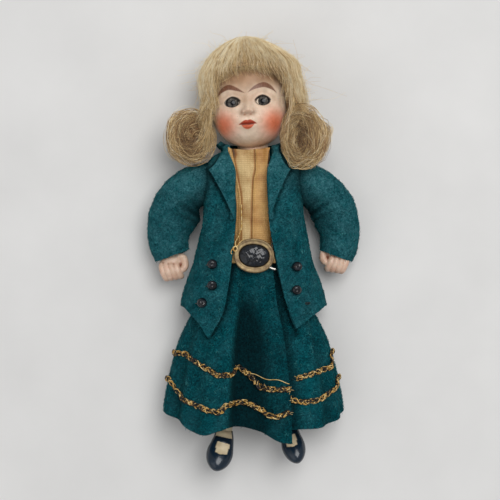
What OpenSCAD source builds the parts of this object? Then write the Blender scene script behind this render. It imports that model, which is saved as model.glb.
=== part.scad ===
// Bisque doll with a swivel head, wire-strung limbs, a mohair wig and sewn felt clothes.
// It lies on its back: X runs across it, Y from toes to crown and Z up through the face.

/* [Torso] */
// Height of the shoulder joint above the waist
shoulder_rise = 19.2; // [18:0.1:21]
// Height of the neck ball above the waist
neck_rise = 26.5; // [25.5:0.1:28]
// Depth of the hip joint below the waist
hip_drop = 8.5; // [7.5:0.1:9.5]
// Width of the torso between the flat arm faces
shoulder_w = 15.8; // [14.5:0.1:17]
// Width of the torso at the waist
waist_w = 13; // [12:0.1:14]
// Width of the torso above the hips
hip_w = 14.2; // [13:0.1:15]
// Depth of the torso from chest to back
torso_d = 10.4; // [9.5:0.1:11.5]
// Thickness of the bisque
bisque_t = 1.5; // [1.2:0.1:1.8]
// Gap between a limb and the torso
limb_gap = 0.3; // [0.25:0.05:0.5]

/* [Head] */
// Width of the head across the cheeks
head_w = 20.2; // [19:0.1:21.5]
// Depth of the head from face to nape
head_d = 20.6; // [19.5:0.1:22]
// Height of the widest part of the face above the neck ball
face_rise = 11.6; // [11:0.1:12.5]
// Height from the widest part of the face down to the chin
chin_h = 9.6; // [9:0.1:10]
// Height from the widest part of the face up to the crown
crown_h = 16.6; // [16:0.1:18]
// Lean of the head to its right
head_tilt = 4.5; // [0:0.5:6]
// Radius of the neck ball
neck_ball_r = 4.4; // [4:0.1:4.8]
// Gap between the neck ball and its cup
cup_gap = 0.3; // [0.25:0.05:0.5]
// Distance between the eye centres
eye_span = 7.8; // [7:0.1:8.4]
// Height of the eyes above the neck ball
eye_rise = 13.4; // [12.9:0.1:14]
// Shift of the face to its right
face_shift = 0.5; // [0:0.1:0.8]
// Radius of a glass eye
eye_r = 2.6; // [2.4:0.1:2.8]
// Width of an eye opening
eye_open_w = 4.4; // [3.8:0.1:4.8]
// Height of an eye opening
eye_open_h = 3; // [2.4:0.1:3.4]
// Height of the crown opening above the neck ball
crown_cut = 24.4; // [23.5:0.1:25]

/* [Arms] */
// Reach of the wrist outwards from the torso
wrist_out = 14; // [12.5:0.1:15]
// Drop from the shoulder joint to the wrist
wrist_drop = 19.6; // [18:0.1:21]
// Drop of the wrist towards the table
wrist_sink = 2.6; // [1.5:0.1:3]
// Radius of the upper arm
arm_r = 2.5; // [2.2:0.1:2.7]
// Radius of the wrist
wrist_r = 1.9; // [1.6:0.1:2.1]
// Half width of the curled hand
hand_r = 3.4; // [3:0.1:3.7]
// Length of the curled hand
hand_len = 6; // [5.4:0.1:6.6]

/* [Legs] */
// Length of the leg from hip joint to ankle
leg_len = 38; // [36:0.5:40]
// Radius of the thigh at the joint
thigh_r = 4; // [3.6:0.1:4.3]
// Width of the thigh along the hip wire
thigh_w = 5.2; // [4.6:0.1:5.6]
// Width of the torso between the legs
crotch_w = 6; // [5.4:0.1:6.6]
// Radius of the ankle
ankle_r = 2.1; // [1.9:0.1:2.3]
// Drop of the ankle towards the table
ankle_sink = 2.7; // [2.2:0.1:2.9]
// Length of the shoe
foot_len = 12.2; // [11:0.1:13]
// Width of the shoe
foot_w = 7; // [6.4:0.1:7.4]
// Lift of the toes from the line of the leg
foot_pitch = 40; // [25:1:50]
// Outward lean of the right leg
right_lean = 2.8; // [1:0.1:4]
// Outward lean of the left leg
left_lean = 5.5; // [3:0.1:7]
// Outward turn of the feet
toe_out = 20; // [0:1:25]

/* [Stringing] */
// Diameter of the shoulder and hip wires
wire_d = 1; // [0.8:0.1:1.2]
// Radial clearance of the wires in their bores
wire_gap = 0.05; // [0.02:0.01:0.1]
// Radius of the ring that closes a wire's end
wire_ring_r = 0.9; // [0.8:0.1:1.1]
// Diameter of the neck hook's wire
hook_d = 0.9; // [0.7:0.1:1]
// Diameter of the neck toggle
toggle_d = 2; // [1.6:0.1:2.2]

/* [Wig] */
// Thickness of the hair at the temples
hair_side_t = 4.3; // [3.6:0.1:4.8]
// Thickness of the hair over the crown
hair_top_t = 3.4; // [2.8:0.1:4]
// Thickness of the fringe
hair_front_t = 1.8; // [1.5:0.1:2.2]
// Thickness of the hair that is pressed flat behind the head
hair_back_t = 1.9; // [1.6:0.1:2.4]
// Height of the fringe's lower edge above the neck ball
fringe_rise = 20.7; // [20:0.1:22]
// Thickness of the gauze cap
cap_t = 0.4; // [0.3:0.05:0.6]
// Gap between the head, the cap and the hair
wig_gap = 0.15; // [0.1:0.05:0.3]
// Outer radius of the right curl
right_curl_r = 7.9; // [7.4:0.1:8.2]
// Outer radius of the left curl
left_curl_r = 8.2; // [7.8:0.1:8.4]
// Thickness of the rolled lock
lock_t = 2.3; // [2:0.1:2.4]
// Half width of the rolled lock
lock_w = 4.5; // [3.5:0.1:4.8]
// Gap between the turns of a curl
curl_gap = 0.45; // [0.42:0.01:0.6]

/* [Felt clothes] */
// Thickness of the felt
felt_t = 1.3; // [1:0.1:1.5]
// Gap between layers of cloth
layer_gap = 0.3; // [0.2:0.05:0.4]
// Room between the torso's back and the skirt
back_ease = 0.9; // [0.6:0.1:1.4]
// Room between the torso's side and the coat at the shoulder
coat_ease = 5.1; // [4.8:0.1:6]
// Flare of the coat at the waist, each side
coat_waist_flare = 2.4; // [1.8:0.1:3]
// Flare of the coat at its hem, each side
coat_hem_flare = 6.4; // [5.5:0.1:7.5]
// Height of the coat's front above the table at the chest
coat_front_z = 17.8; // [17.2:0.1:19]
// Length of the coat below the waist at the sides
coat_side_len = 13; // [12:0.1:14.5]
// Length of the right front point below the waist
right_point_len = 21.4; // [19:0.1:22.5]
// Length of the left front point below the waist
left_point_len = 18.8; // [17:0.1:20]
// Radius of the sleeve where it meets the coat
sleeve_cap_r = 5.6; // [5.3:0.1:5.9]
// Radius of the sleeve at the elbow
sleeve_elbow_r = 5.9; // [5.4:0.1:6.1]
// Radius of the cuff
cuff_r = 4.8; // [4.7:0.1:5.1]
// Width of the lapel at its notch
lapel_w = 6.8; // [5:0.1:7.2]
// Height of the lapel's lower end above the waist
lapel_end = 9.5; // [6:0.1:12]
// Width of the skirt's hem
hem_w = 48; // [45:0.5:51]
// Height of the skirt's front above the table at the hem
hem_z = 23.4; // [22.5:0.1:25]
// Length of the skirt at its sides
skirt_side_len = 41; // [39:0.5:43]
// Extra length of the skirt at the loose front edge
front_dip = 7.4; // [5:0.1:8]
// Depth of the main front fold at the hem
fold_d = 4.2; // [2:0.1:4.6]
// Room between the torso and the skirt's waist
waist_ease = 0.6; // [0.5:0.1:0.9]

/* [Trimmings] */
// Thickness of the ribbon
ribbon_t = 0.5; // [0.3:0.05:0.6]
// Width of the ribbon front
blouse_w = 11; // [9:0.1:12]
// Width of the belt
belt_w = 3.6; // [3:0.1:4.4]
// Length of the buckle across the waist
buckle_w = 10.4; // [9.4:0.1:10.8]
// Height of the buckle
buckle_h = 9; // [8:0.1:9.6]
// Thickness of the buckle
buckle_t = 1.1; // [0.8:0.1:1.4]
// Width of the buckle's rim
buckle_rim = 1.5; // [1.1:0.1:1.8]
// Diameter of a bead button
bead_d = 2.6; // [2.2:0.1:3]
// Diameter of the braid
braid_d = 1.2; // [1:0.1:1.3]
// Height of the upper braid above the hem
upper_braid_rise = 14.2; // [13:0.1:15.5]
// Height of the lower braid above the hem
lower_braid_rise = 7.4; // [6:0.1:8.5]

/* [Hidden] */
$fn = 48;
// Margin that carries a cut past the surface it opens
eps = 0.5;

// Heights above the table of the body's axis and of the head's axis
body_z = 2 * (felt_t + layer_gap) + back_ease + torso_d / 2;
head_fwd = hair_back_t + head_d / 2 - body_z;
hair_gap = 2 * wig_gap + cap_t;
wire_bore_r = wire_d / 2 + wire_gap;
arm_x = shoulder_w / 2 + limb_gap;
leg_x = crotch_w / 2 + limb_gap;
coat_x = shoulder_w / 2 + coat_ease;
neck_bore_r = neck_ball_r - bisque_t;

// Small tools for curves
function mix(a, b, t) = a + (b - a) * t;
function clamp01(t) = max(0, min(1, t));
function soft(t) = clamp01(t) * clamp01(t) * (3 - 2 * clamp01(t));
function spow(v, p) = sign(v) * pow(abs(v), p);
function bump(v, width) = exp(-pow(v / width, 2));
function unit(v) = v / norm(v);
function mean(points) = [for (k = [0 : 2]) [for (p = points) p[k]] * [for (p = points) 1 / len(points)]];
function bezier(p, t) = pow(1 - t, 3) * p[0] + 3 * t * pow(1 - t, 2) * p[1]
    + 3 * t * t * (1 - t) * p[2] + pow(t, 3) * p[3];
function bezier_way(p, t) = unit(pow(1 - t, 2) * (p[1] - p[0]) + 2 * t * (1 - t) * (p[2] - p[1])
    + t * t * (p[3] - p[2]));

// Ring across Y, counted from the front towards +X, with its own front and back depth and squareness
function body_ring(c, w, front, back, sides, n = 2.2) = [for (i = [0 : sides - 1])
    let(a = 360 * i / sides)
    [c[0] + w * spow(sin(a), 2 / n), c[1], c[2] + (cos(a) > 0 ? front : back) * spow(cos(a), 2 / n)]];
// Ring square to a path's way
function tube_ring(c, way, w, h, sides) = let(u = unit(cross([0, 0, 1], way)), v = cross(way, u))
    [for (i = [0 : sides - 1]) let(a = 360 * i / sides) c + w * cos(a) * u + h * sin(a) * v];

// Triangles of a grid of points, seen from its outer side
function walls(rows, cols, wrap, base, flip) = [for (i = [0 : rows - 2], j = [0 : wrap ? cols - 1 : cols - 2])
    let(a = base + i * cols + j, b = base + i * cols + (j + 1) % cols, c = b + cols, d = a + cols)
    each flip ? [[a, b, c], [a, c, d]] : [[a, d, c], [a, c, b]]];
function near_rim(cols, wrap, s) = [for (j = [0 : wrap ? cols - 1 : cols - 2])
    let(k = (j + 1) % cols) each [[j, k, s + k], [j, s + k, s + j]]];
function far_rim(rows, cols, wrap, s) = [for (j = [0 : wrap ? cols - 1 : cols - 2])
    let(a = (rows - 1) * cols + j, b = (rows - 1) * cols + (j + 1) % cols)
    each [[a, s + b, b], [a, s + a, s + b]]];
function side_rims(rows, cols, s) = [for (i = [0 : rows - 2])
    let(a = i * cols, d = a + cols, p = a + cols - 1, q = p + cols)
    each [[s + a, s + d, d], [s + a, d, a], [p, q, s + q], [p, s + q, s + p]]];
function end_cap(centre, base, cols, flip) = [for (j = [0 : cols - 1])
    let(a = base + j, b = base + (j + 1) % cols) flip ? [centre, b, a] : [centre, a, b]];

// Solid body through a row of rings
module loft(rings) {
    rows = len(rings);
    cols = len(rings[0]);
    last = (rows - 1) * cols;
    polyhedron(
        points = concat([for (r = rings) each r], [mean(rings[0]), mean(rings[rows - 1])]),
        faces = concat(walls(rows, cols, true, 0, false), end_cap(rows * cols, 0, cols, false),
            end_cap(rows * cols + 1, last, cols, true)));
}

// Sheet of cloth between an outer and an inner grid of points
module sheet(outer, inner, wrap = false) {
    rows = len(outer);
    cols = len(outer[0]);
    s = rows * cols;
    polyhedron(
        points = concat([for (r = outer) each r], [for (r = inner) each r]),
        faces = concat(walls(rows, cols, wrap, 0, false), walls(rows, cols, wrap, s, true),
            near_rim(cols, wrap, s), far_rim(rows, cols, wrap, s), wrap ? [] : side_rims(rows, cols, s)));
}

// Bowl between an outer and an inner row of rings, closed at its last rings
module dome(outer, inner) {
    rows = len(outer);
    cols = len(outer[0]);
    s = rows * cols;
    last = (rows - 1) * cols;
    polyhedron(
        points = concat([for (r = outer) each r], [for (r = inner) each r],
            [mean(outer[rows - 1]), mean(inner[rows - 1])]),
        faces = concat(walls(rows, cols, true, 0, false), walls(rows, cols, true, s, true),
            near_rim(cols, true, s), end_cap(2 * s, last, cols, true),
            end_cap(2 * s + 1, s + last, cols, false)));
}

// Grid moved inwards along its normals
function grid_normal(g, i, j, wrap) = let(rows = len(g), cols = len(g[0]),
    next = wrap ? (j + 1) % cols : min(j + 1, cols - 1),
    last = wrap ? (j + cols - 1) % cols : max(j - 1, 0),
    a = g[i][next] - g[i][last],
    b = g[min(i + 1, rows - 1)][j] - g[max(i - 1, 0)][j])
    unit(cross(a, b));
function inset(g, t, wrap = false) = [for (i = [0 : len(g) - 1])
    [for (j = [0 : len(g[0]) - 1]) g[i][j] - t * grid_normal(g, i, j, wrap)]];

module along_x(x0, x1, r) {
    translate([x0, 0, 0]) rotate([0, 90, 0]) cylinder(r = r, h = x1 - x0);
}

module along_y(y0, y1, r) {
    translate([0, y0, 0]) rotate([-90, 0, 0]) cylinder(r = r, h = y1 - y0);
}

module ring_about_x(x, r, tube_r) {
    translate([x, 0, 0]) rotate([0, 90, 0]) rotate_extrude() translate([r, 0]) circle(r = tube_r);
}

module at_shoulder() {
    translate([0, shoulder_rise, body_z]) children();
}

module at_hip() {
    translate([0, -hip_drop, body_z]) children();
}

module at_neck() {
    translate([0, neck_rise, body_z]) children();
}

module on_head() {
    at_neck() rotate([0, 0, head_tilt]) children();
}

// Torso sections: height above the waist, half width and half depth
neck_rim_y = neck_rise - 0.5 * neck_ball_r;
crotch_y = -hip_drop - thigh_r - 1;
torso_sections = [
    [crotch_y, 0.33 * crotch_w, 0.25 * torso_d],
    [-hip_drop - 0.55 * thigh_r, 0.4 * hip_w, 0.42 * torso_d],
    [-hip_drop + 0.6 * thigh_r, 0.5 * hip_w, 0.5 * torso_d],
    [-1, 0.5 * waist_w, 0.47 * torso_d],
    [0.35 * shoulder_rise, 0.5 * mix(waist_w, shoulder_w, 0.5), 0.48 * torso_d],
    [0.72 * shoulder_rise, 0.5 * shoulder_w + 0.3, 0.5 * torso_d],
    [shoulder_rise, 0.5 * shoulder_w + 0.4, 0.48 * torso_d],
    [mix(shoulder_rise, neck_rim_y, 0.55), 0.46 * shoulder_w, 0.46 * torso_d],
    [neck_rim_y, neck_ball_r + 0.8, neck_ball_r + 0.5]];
cup_floor_y = neck_rise - neck_ball_r - cup_gap - bisque_t;
cavity_sections = [for (i = [1 : 7]) let(s = torso_sections[i])
    [i == 1 ? s[0] + bisque_t / 2 : min(s[0], cup_floor_y), s[1] - 1.3 * bisque_t - (i == 7 ? bisque_t : 0),
        s[2] - bisque_t]];
function section_rings(sections, sides) = [for (s = sections)
    body_ring([0, s[0], body_z], s[1], s[2], s[2], sides, 2.4)];
function torso_w(y) = lookup(y, [for (s = torso_sections) [s[0], s[1]]]);
function torso_half_d(y) = lookup(y, [for (s = torso_sections) [s[0], s[2]]]);

module torso() {
    color("#e6d3bd") difference() {
        loft(section_rings(torso_sections, 24));
        loft(section_rings(cavity_sections, 16));
        at_neck() sphere(r = neck_ball_r + cup_gap);
        at_neck() along_y(-neck_ball_r - 3 * bisque_t, 0, hook_d + 0.6);
        at_shoulder() along_x(-shoulder_w, shoulder_w, wire_bore_r);
        at_hip() along_x(-hip_w, hip_w, wire_bore_r);
        for (side = [0, 1]) mirror([side, 0, 0]) {
            at_hip() along_x(crotch_w / 2, hip_w, thigh_r + limb_gap);
            at_shoulder() translate([shoulder_w / 2, -2 * arm_r, -torso_d])
                cube([arm_r, 4 * arm_r, 2 * torso_d]);
        }
    }
}

// The arm runs from the torso's flat face through the elbow to the wrist
arm_root = [arm_x + 2.2, shoulder_rise, body_z];
wrist = [arm_x + wrist_out, shoulder_rise - wrist_drop, body_z - wrist_sink];
arm_path = [arm_root, arm_root + [4.6, -1.8, -0.2], wrist + [2.4, 11.4, 0.9], wrist];
arm_rows = 9;
hand_way = unit([-0.16, -1, -0.04]);
hand_profile = [[0.06, 0.62], [0.2, 0.84], [0.42, 0.94], [0.64, 0.86], [0.82, 0.6], [0.9, 0.3]];
function arm_rings(sides) = concat(
    [for (s = [[0, 0.84], [0.5, 1], [2.2, 1.06]]) tube_ring([arm_x + s[0], shoulder_rise, body_z], [1, 0, 0],
        arm_r * s[1], arm_r * s[1], sides)],
    [for (i = [1 : arm_rows]) let(t = i / arm_rows, r = mix(arm_r, wrist_r, soft(t)))
        tube_ring(bezier(arm_path, t), bezier_way(arm_path, t), r, r, sides)],
    [for (s = hand_profile) tube_ring(wrist + hand_len * s[0] * hand_way, hand_way,
        max(wrist_r * (1 - s[0]), hand_r * s[1]), max(wrist_r * (1 - s[0]), 0.78 * hand_r * s[1]), sides)]);

// Places on the hand: shares of its half width outwards, its length down and its half width up
hand_side = unit(cross([0, 0, 1], hand_way));
function hand_at(p) = wrist + p[1] * hand_len * hand_way + hand_r * (p[0] * hand_side + [0, 0, p[2]]);
finger_r = 0.29 * hand_r;
finger_path = [[0.2, 0.3, 0.45], [0.12, 0.74, 0.72], [-0.04, 1.02, 0.5], [-0.1, 1.06, -0.2]];
finger_places = [-0.52, -0.14, 0.24, 0.6];
thumb_path = [[-0.5, 0.04, 0.1], [-1, 0.25, 0.2], [-1.05, 0.6, 0.4], [-0.6, 0.86, 0.62]];

module finger(places, r) {
    path = [for (p = places) hand_at(p)];
    loft([for (t = [0 : 0.2 : 1]) let(thin = r * (1 - 0.4 * pow(t, 4)))
        tube_ring(bezier(path, t), bezier_way(path, t), thin, thin, 8)]);
}

module arm() {
    color("#e3c3a8") difference() {
        union() {
            loft(arm_rings(14));
            for (u = finger_places) finger([for (p = finger_path) p + [u, 0, -0.25 * u * u]], finger_r);
            finger(thumb_path, 1.1 * finger_r);
        }
        at_shoulder() along_x(arm_x - eps, arm_x + wrist_out, wire_bore_r);
    }
}

module right_arm() {
    mirror([1, 0, 0]) arm();
}

module left_arm() {
    arm();
}

// Leg sections: share of the leg's length, half width and half depth
leg_sections = [
    [0, 0.46 * thigh_w, 0.94 * thigh_r],
    [0.16, 0.56 * thigh_w, 0.92 * thigh_r],
    [0.36, 0.54 * thigh_w, 0.84 * thigh_r],
    [0.53, 1.26 * ankle_r, 1.34 * ankle_r],
    [0.68, 1.3 * ankle_r, 1.42 * ankle_r],
    [0.87, 1.06 * ankle_r, 1.12 * ankle_r],
    [1, ankle_r, 1.05 * ankle_r]];
// Shoe sections: share of the shoe's length, share of the pitch, half width, half depth
foot_sections = [
    [0.16, 0.4, 0.36 * foot_w, 1.3 * ankle_r],
    [0.36, 0.8, 0.43 * foot_w, 1.3 * ankle_r],
    [0.58, 1, 0.49 * foot_w, 1.05 * ankle_r],
    [0.78, 1, 0.48 * foot_w, 0.84 * ankle_r],
    [0.92, 1, 0.36 * foot_w, 0.6 * ankle_r],
    [1, 1, 0.14 * foot_w, 0.24 * ankle_r]];
function leg_top() = [leg_x + thigh_w / 2, -hip_drop, body_z];
function leg_point(share, lean) = leg_top() + [share * leg_len * tan(lean), -share * leg_len,
    -ankle_sink * share * share];
function foot_way(share) = let(p = foot_pitch * share)
    [sin(toe_out) * sin(p), -cos(p), cos(toe_out) * sin(p)];
function foot_point(i, lean) = i == 0 ? leg_point(1, lean)
    : foot_point(i - 1, lean) + foot_len * (foot_sections[i - 1][0] - (i == 1 ? 0 : foot_sections[i - 2][0]))
        * foot_way(foot_sections[i - 1][1]);
function leg_rings(lean, sides) = concat(
    [for (s = leg_sections) tube_ring(leg_point(s[0], lean), [0, -1, 0], s[1], s[2], sides)],
    [for (i = [1 : len(foot_sections)]) let(s = foot_sections[i - 1])
        tube_ring(foot_point(i, lean), foot_way(s[1]), s[2], s[3], sides)]);

module leg(lean) {
    color("#e2d6c4") difference() {
        union() {
            loft(leg_rings(lean, 18));
            at_hip() along_x(leg_x, leg_x + thigh_w, thigh_r);
        }
        at_hip() along_x(leg_x - eps, leg_x + thigh_w + eps, wire_bore_r);
    }
}

module right_leg() {
    mirror([1, 0, 0]) leg(right_lean);
}

module left_leg() {
    leg(left_lean);
}

// Each wire ends in a ring just past the piece that it holds
arm_ring_x = arm_x + 3.88 * arm_r;
leg_ring_x = leg_x + thigh_w + wire_d / 2 + 2 * wire_gap;

module joint_wire(ring_x) {
    along_x(-ring_x, ring_x, wire_d / 2);
    for (side = [-1, 1]) ring_about_x(side * ring_x, wire_ring_r, wire_d / 2);
    for (side = [-1, 1], a = [0, 90]) translate([side * ring_x, 0, 0]) rotate([a, 0, 0])
        along_y(-wire_ring_r, wire_ring_r, wire_d / 2);
}

module shoulder_wire() {
    color("#8d8a84") at_shoulder() joint_wire(arm_ring_x);
}

module hip_wire() {
    color("#8d8a84") at_hip() joint_wire(leg_ring_x);
}

// The toggle lies across the neck, and the hook hangs from it to the shoulder wire
toggle_len = 2 * sqrt(pow(neck_bore_r - wire_gap, 2) - pow(toggle_d / 2, 2));
loop_ease = 0.3;
top_loop_r = toggle_d / 2 + wire_gap + hook_d / 2;
low_loop_r = wire_d / 2 + hook_d / 2 + loop_ease;
low_loop_y = shoulder_rise - neck_rise + low_loop_r - hook_d / 2 - wire_d / 2 - wire_gap;

module neck_toggle() {
    color("#b98d57") at_neck() along_x(-toggle_len / 2, toggle_len / 2, toggle_d / 2);
}

module neck_hook() {
    color("#8d8a84") at_neck() {
        ring_about_x(0, top_loop_r, hook_d / 2);
        translate([0, low_loop_y, 0]) ring_about_x(0, low_loop_r, hook_d / 2);
        along_y(low_loop_y + low_loop_r, -top_loop_r, hook_d / 2);
    }
}

// Head surface, counted from the front, grown by off on every side
function head_share(y, off) = y > face_rise
    ? pow(max(0, 1 - pow((y - face_rise) / (crown_h + off), 2.4)), 1 / 2.4)
    : sqrt(max(0, 1 - pow((face_rise - y) / (chin_h + off), 2)));
nose_y = face_rise - 0.3;
mouth_y = face_rise - 4;
function face_relief(x, y) =
    1.7 * bump(x, 1.1) * bump(y - nose_y, y > nose_y ? 2.6 : 0.8)
    + 0.6 * bump(x, 1.9) * bump(y - mouth_y, 1)
    + 0.5 * bump(x, 2.4) * bump(y - face_rise + 7.2, 1.6)
    + 0.4 * bump(abs(x) - 5.2, 2.6) * bump(y - face_rise + 3.6, 2.6)
    - 0.6 * bump(abs(x) - eye_span / 2, 2) * bump(y - eye_rise, 1.5);
function head_point(y, a, off) = let(k = head_share(y, off),
    x = (head_w / 2 + off) * k * sin(a), z = (head_d / 2 + off) * k * cos(a))
    [x, y, head_fwd + z + (cos(a) > 0 ? soft(cos(a) * 2) * face_relief(x + face_shift, y) : 0)];
// Columns crowd towards the face
function face_angle(t) = 360 * t - 42 * sin(360 * t);
head_low_y = face_rise - 0.94 * chin_h;
head_rows = 22;
head_cols = 36;
function head_rings(y0, y1, rows, cols, off) = [for (i = [0 : rows])
    [for (j = [0 : cols - 1]) head_point(mix(y0, y1, i / rows), face_angle(j / cols), off)]];
function cavity_rings(rows, cols) = [for (i = [0 : rows])
    let(y = mix(head_low_y + bisque_t, crown_cut, i / rows), k = head_share(y, -bisque_t))
    [for (j = [0 : cols - 1]) let(a = 360 * j / cols)
        [(head_w / 2 - bisque_t) * k * sin(a), i == rows ? y + eps : y,
            head_fwd + (head_d / 2 - bisque_t) * k * cos(a)]]];
eye_z = head_fwd + head_d / 2 * sqrt(1 - pow(eye_span / head_w, 2)) - 0.75 - eye_r;
eye_gap = 0.05;

// Opening between two arcs that meet at the corners of the eye
module eye_opening() {
    lid_r = (pow(eye_open_w, 2) + pow(eye_open_h, 2)) / (4 * eye_open_h);
    linear_extrude(height = 2 * eye_r) intersection_for (side = [-1, 1])
        translate([0, side * (lid_r - eye_open_h / 2)]) circle(r = lid_r);
}

module at_eye(side) {
    translate([side * eye_span / 2 - face_shift, eye_rise, eye_z]) children();
}

module each_eye() {
    for (side = [-1, 1]) at_eye(side) children();
}

module head() {
    color("#ecd6c0") on_head() difference() {
        union() {
            loft(head_rings(head_low_y, crown_cut, head_rows, head_cols, 0));
            sphere(r = neck_ball_r);
            along_y(0, head_low_y + 3 * bisque_t, 0.92 * neck_ball_r);
        }
        loft(cavity_rings(8, 16));
        sphere(r = neck_bore_r);
        along_y(0, head_low_y + 4 * bisque_t, neck_bore_r - 0.1);
        along_y(-neck_ball_r - eps, 0, hook_d + 0.9);
        each_eye() sphere(r = eye_r + eye_gap);
        each_eye() eye_opening();
    }
}

module right_eye() {
    color("#4a4f57") on_head() at_eye(-1) sphere(r = eye_r);
}

module left_eye() {
    color("#4a4f57") on_head() at_eye(1) sphere(r = eye_r);
}

// Plaster bar from temple to temple, poured round the backs of the eyes
plaster_h = 3.6;
plaster_fit = 0.94;
plaster_w = 2 * plaster_fit * (head_w / 2 - bisque_t)
    * sqrt(1 - pow((eye_z - head_fwd - eye_r / 2) / (head_d / 2 - bisque_t), 2));
module eye_plaster() {
    color("#e9e6de") on_head() difference() {
        translate([-plaster_w / 2, eye_rise - plaster_h / 2, eye_z - 1.6 * eye_r])
            cube([plaster_w, plaster_h, 1.1 * eye_r]);
        each_eye() sphere(r = eye_r + eye_gap);
    }
}

// Domes over the crown share one spread of rows
crown_rows = 7;
function crown_rings(y0, off, cols) = [for (i = [0 : crown_rows])
    let(y = mix(y0, face_rise + crown_h + off, sin(82 * i / crown_rows)))
    [for (j = [0 : cols - 1]) head_point(y, 360 * j / cols, off)]];
pate_t = 1.1;

module pate() {
    color("#b79a6c") on_head() dome(crown_rings(crown_cut, 0, 20), crown_rings(crown_cut, -pate_t, 20));
}

cap_y = fringe_rise + 1;
module wig_cap() {
    color("#d9d0bd") on_head() dome(crown_rings(cap_y, wig_gap + cap_t, 24), crown_rings(cap_y, wig_gap, 24));
}

// Hair surface: fuller at the temples, drawn in towards the curls
function hair_side(y) = mix(1.5, hair_side_t, soft((y - 0.3 * face_rise) / (0.8 * face_rise)));
hair_top = face_rise + crown_h + hair_top_t;
function hair_share(y) = y > face_rise
    ? pow(max(0, 1 - pow((y - face_rise) / (hair_top - face_rise), 2.6)), 1 / 2.2)
    : sqrt(max(0, 1 - pow((face_rise - y) / (chin_h + 4 * hair_front_t), 2)));
function hair_point(y, a) = let(k = hair_share(y))
    [(head_w / 2 + hair_side(y)) * k * sin(a), y,
        head_fwd + (head_d / 2 + (cos(a) > 0 ? hair_front_t : hair_back_t)) * k * cos(a)];
crown_cols = 26;

module wig_crown() {
    outer = [for (i = [0 : crown_rows]) let(y = mix(fringe_rise, hair_top, sin(80 * i / crown_rows)))
        [for (j = [0 : crown_cols - 1]) hair_point(y, 360 * j / crown_cols)]];
    color("#a8895a") on_head() dome(outer, crown_rings(fringe_rise, hair_gap, crown_cols));
}

// The side hair leaves the face free, turns into the curls below the ears and ends above the collar
face_edge = 66;
nape_y = 0.36 * face_rise;
side_rows = 6;
side_cols = 24;
function side_low_y(a) = lookup(a, [[face_edge, left_lock_y], [118, left_lock_y], [146, nape_y],
    [214, nape_y], [242, right_side_low], [272, right_side_low], [360 - face_edge, right_lock_y]]);
function side_grid(lift) = [for (i = [0 : side_rows])
    [for (j = [0 : side_cols]) let(a = mix(face_edge, 360 - face_edge, j / side_cols),
        y = mix(side_low_y(a), fringe_rise - wig_gap / 3, i / side_rows))
        lift ? hair_point(y, a) : head_point(y, a, hair_gap / 2)]];

module wig_sides() {
    color("#a08255") on_head() sheet(side_grid(true), side_grid(false));
}

// A curl is one lock rolled up from its loose end, with its core towards the face
curl_turns = 1.7;
curl_rows = 30;
curl_stretch = 1.08;
right_curl_at = [-16.8, 5.6, 3.7];
left_curl_at = [14.7, 3.2, 10.2];
// Angle of each lock's loose end, and turn of each curl about its upright axis
right_curl_start = 40;
left_curl_start = 135;
right_curl_turn = 20;
left_curl_turn = -35;
// Side hair ends just above the curls: over the right one's top, and at each lock's loose end
right_side_low = right_curl_at[1] + right_curl_r + lock_t / 4;
right_lock_y = right_curl_at[1] + curl_stretch * right_curl_r * sin(right_curl_start) + 2 * wig_gap;
left_lock_y = left_curl_at[1] + curl_stretch * left_curl_r * sin(left_curl_start) - 2 * wig_gap;
function curl_point(r, start, t) = let(a = start + 360 * curl_turns * t,
    roll = r - lock_t / 2 - (lock_t + curl_gap) * curl_turns * t)
    [roll * cos(a), curl_stretch * roll * sin(a), 0];
function curl_rings(r, start, sides) = [for (i = [0 : curl_rows])
    let(t = i / curl_rows, fat = mix(0.5, 1, soft(8 * t) * soft(10 * (1 - t))),
        way = unit(curl_point(r, start, t + 0.01) - curl_point(r, start, t - 0.01)))
    tube_ring(curl_point(r, start, t), way, lock_t / 2 * fat, lock_w * fat, sides)];
// Least gap between points of a lock that lie a turn apart
function curl_least_gap(r, start) = min([for (i = [0 : curl_rows], j = [0 : curl_rows])
    if ((j - i) * curl_turns > 0.7 * curl_rows)
        norm(curl_point(r, start, i / curl_rows) - curl_point(r, start, j / curl_rows)) - lock_t]);
echo(least_curl_gap = [curl_least_gap(right_curl_r, right_curl_start),
    curl_least_gap(left_curl_r, left_curl_start)]);

module curl(r, start, turn, centre) {
    color("#a08255") on_head() translate(centre) rotate([0, turn, 0]) loft(curl_rings(r, start, 8));
}

module right_curl() {
    curl(right_curl_r, right_curl_start, right_curl_turn, right_curl_at);
}

module left_curl() {
    curl(left_curl_r, left_curl_start, left_curl_turn, left_curl_at);
}

// Coat sections, from the neck edge down to the front points
coat_top_y = neck_rise + 1.2;
collar_h = 1.6;
coat_hem_x = coat_x + coat_hem_flare;
coat_flat = 0.3;
function coat_half_w(y) = lookup(y, [
    [-right_point_len, coat_hem_x + 1.2], [-coat_side_len, coat_hem_x],
    [-0.6 * coat_side_len, coat_x + 0.8 * coat_hem_flare], [0, coat_x + coat_waist_flare],
    [shoulder_rise - sleeve_cap_r, coat_x + 0.1], [shoulder_rise + 0.5 * sleeve_cap_r, coat_x],
    [shoulder_rise + 0.85 * sleeve_cap_r, coat_x - 0.5], [coat_top_y - 2, coat_x - 1.6],
    [coat_top_y - 0.9, coat_x - 3], [coat_top_y, coat_x - 4.6], [coat_top_y + collar_h, coat_x - 4.9]]);
function coat_top_z(y) = lookup(y, [
    [-right_point_len, coat_front_z + 2.6], [-coat_side_len, coat_front_z + 1.8], [0, coat_front_z + 1.4],
    [shoulder_rise - sleeve_cap_r, coat_front_z + 0.4], [shoulder_rise, coat_front_z - 0.6],
    [coat_top_y - 2, coat_front_z - 1.2], [coat_top_y, coat_front_z - 1.8]]);
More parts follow.
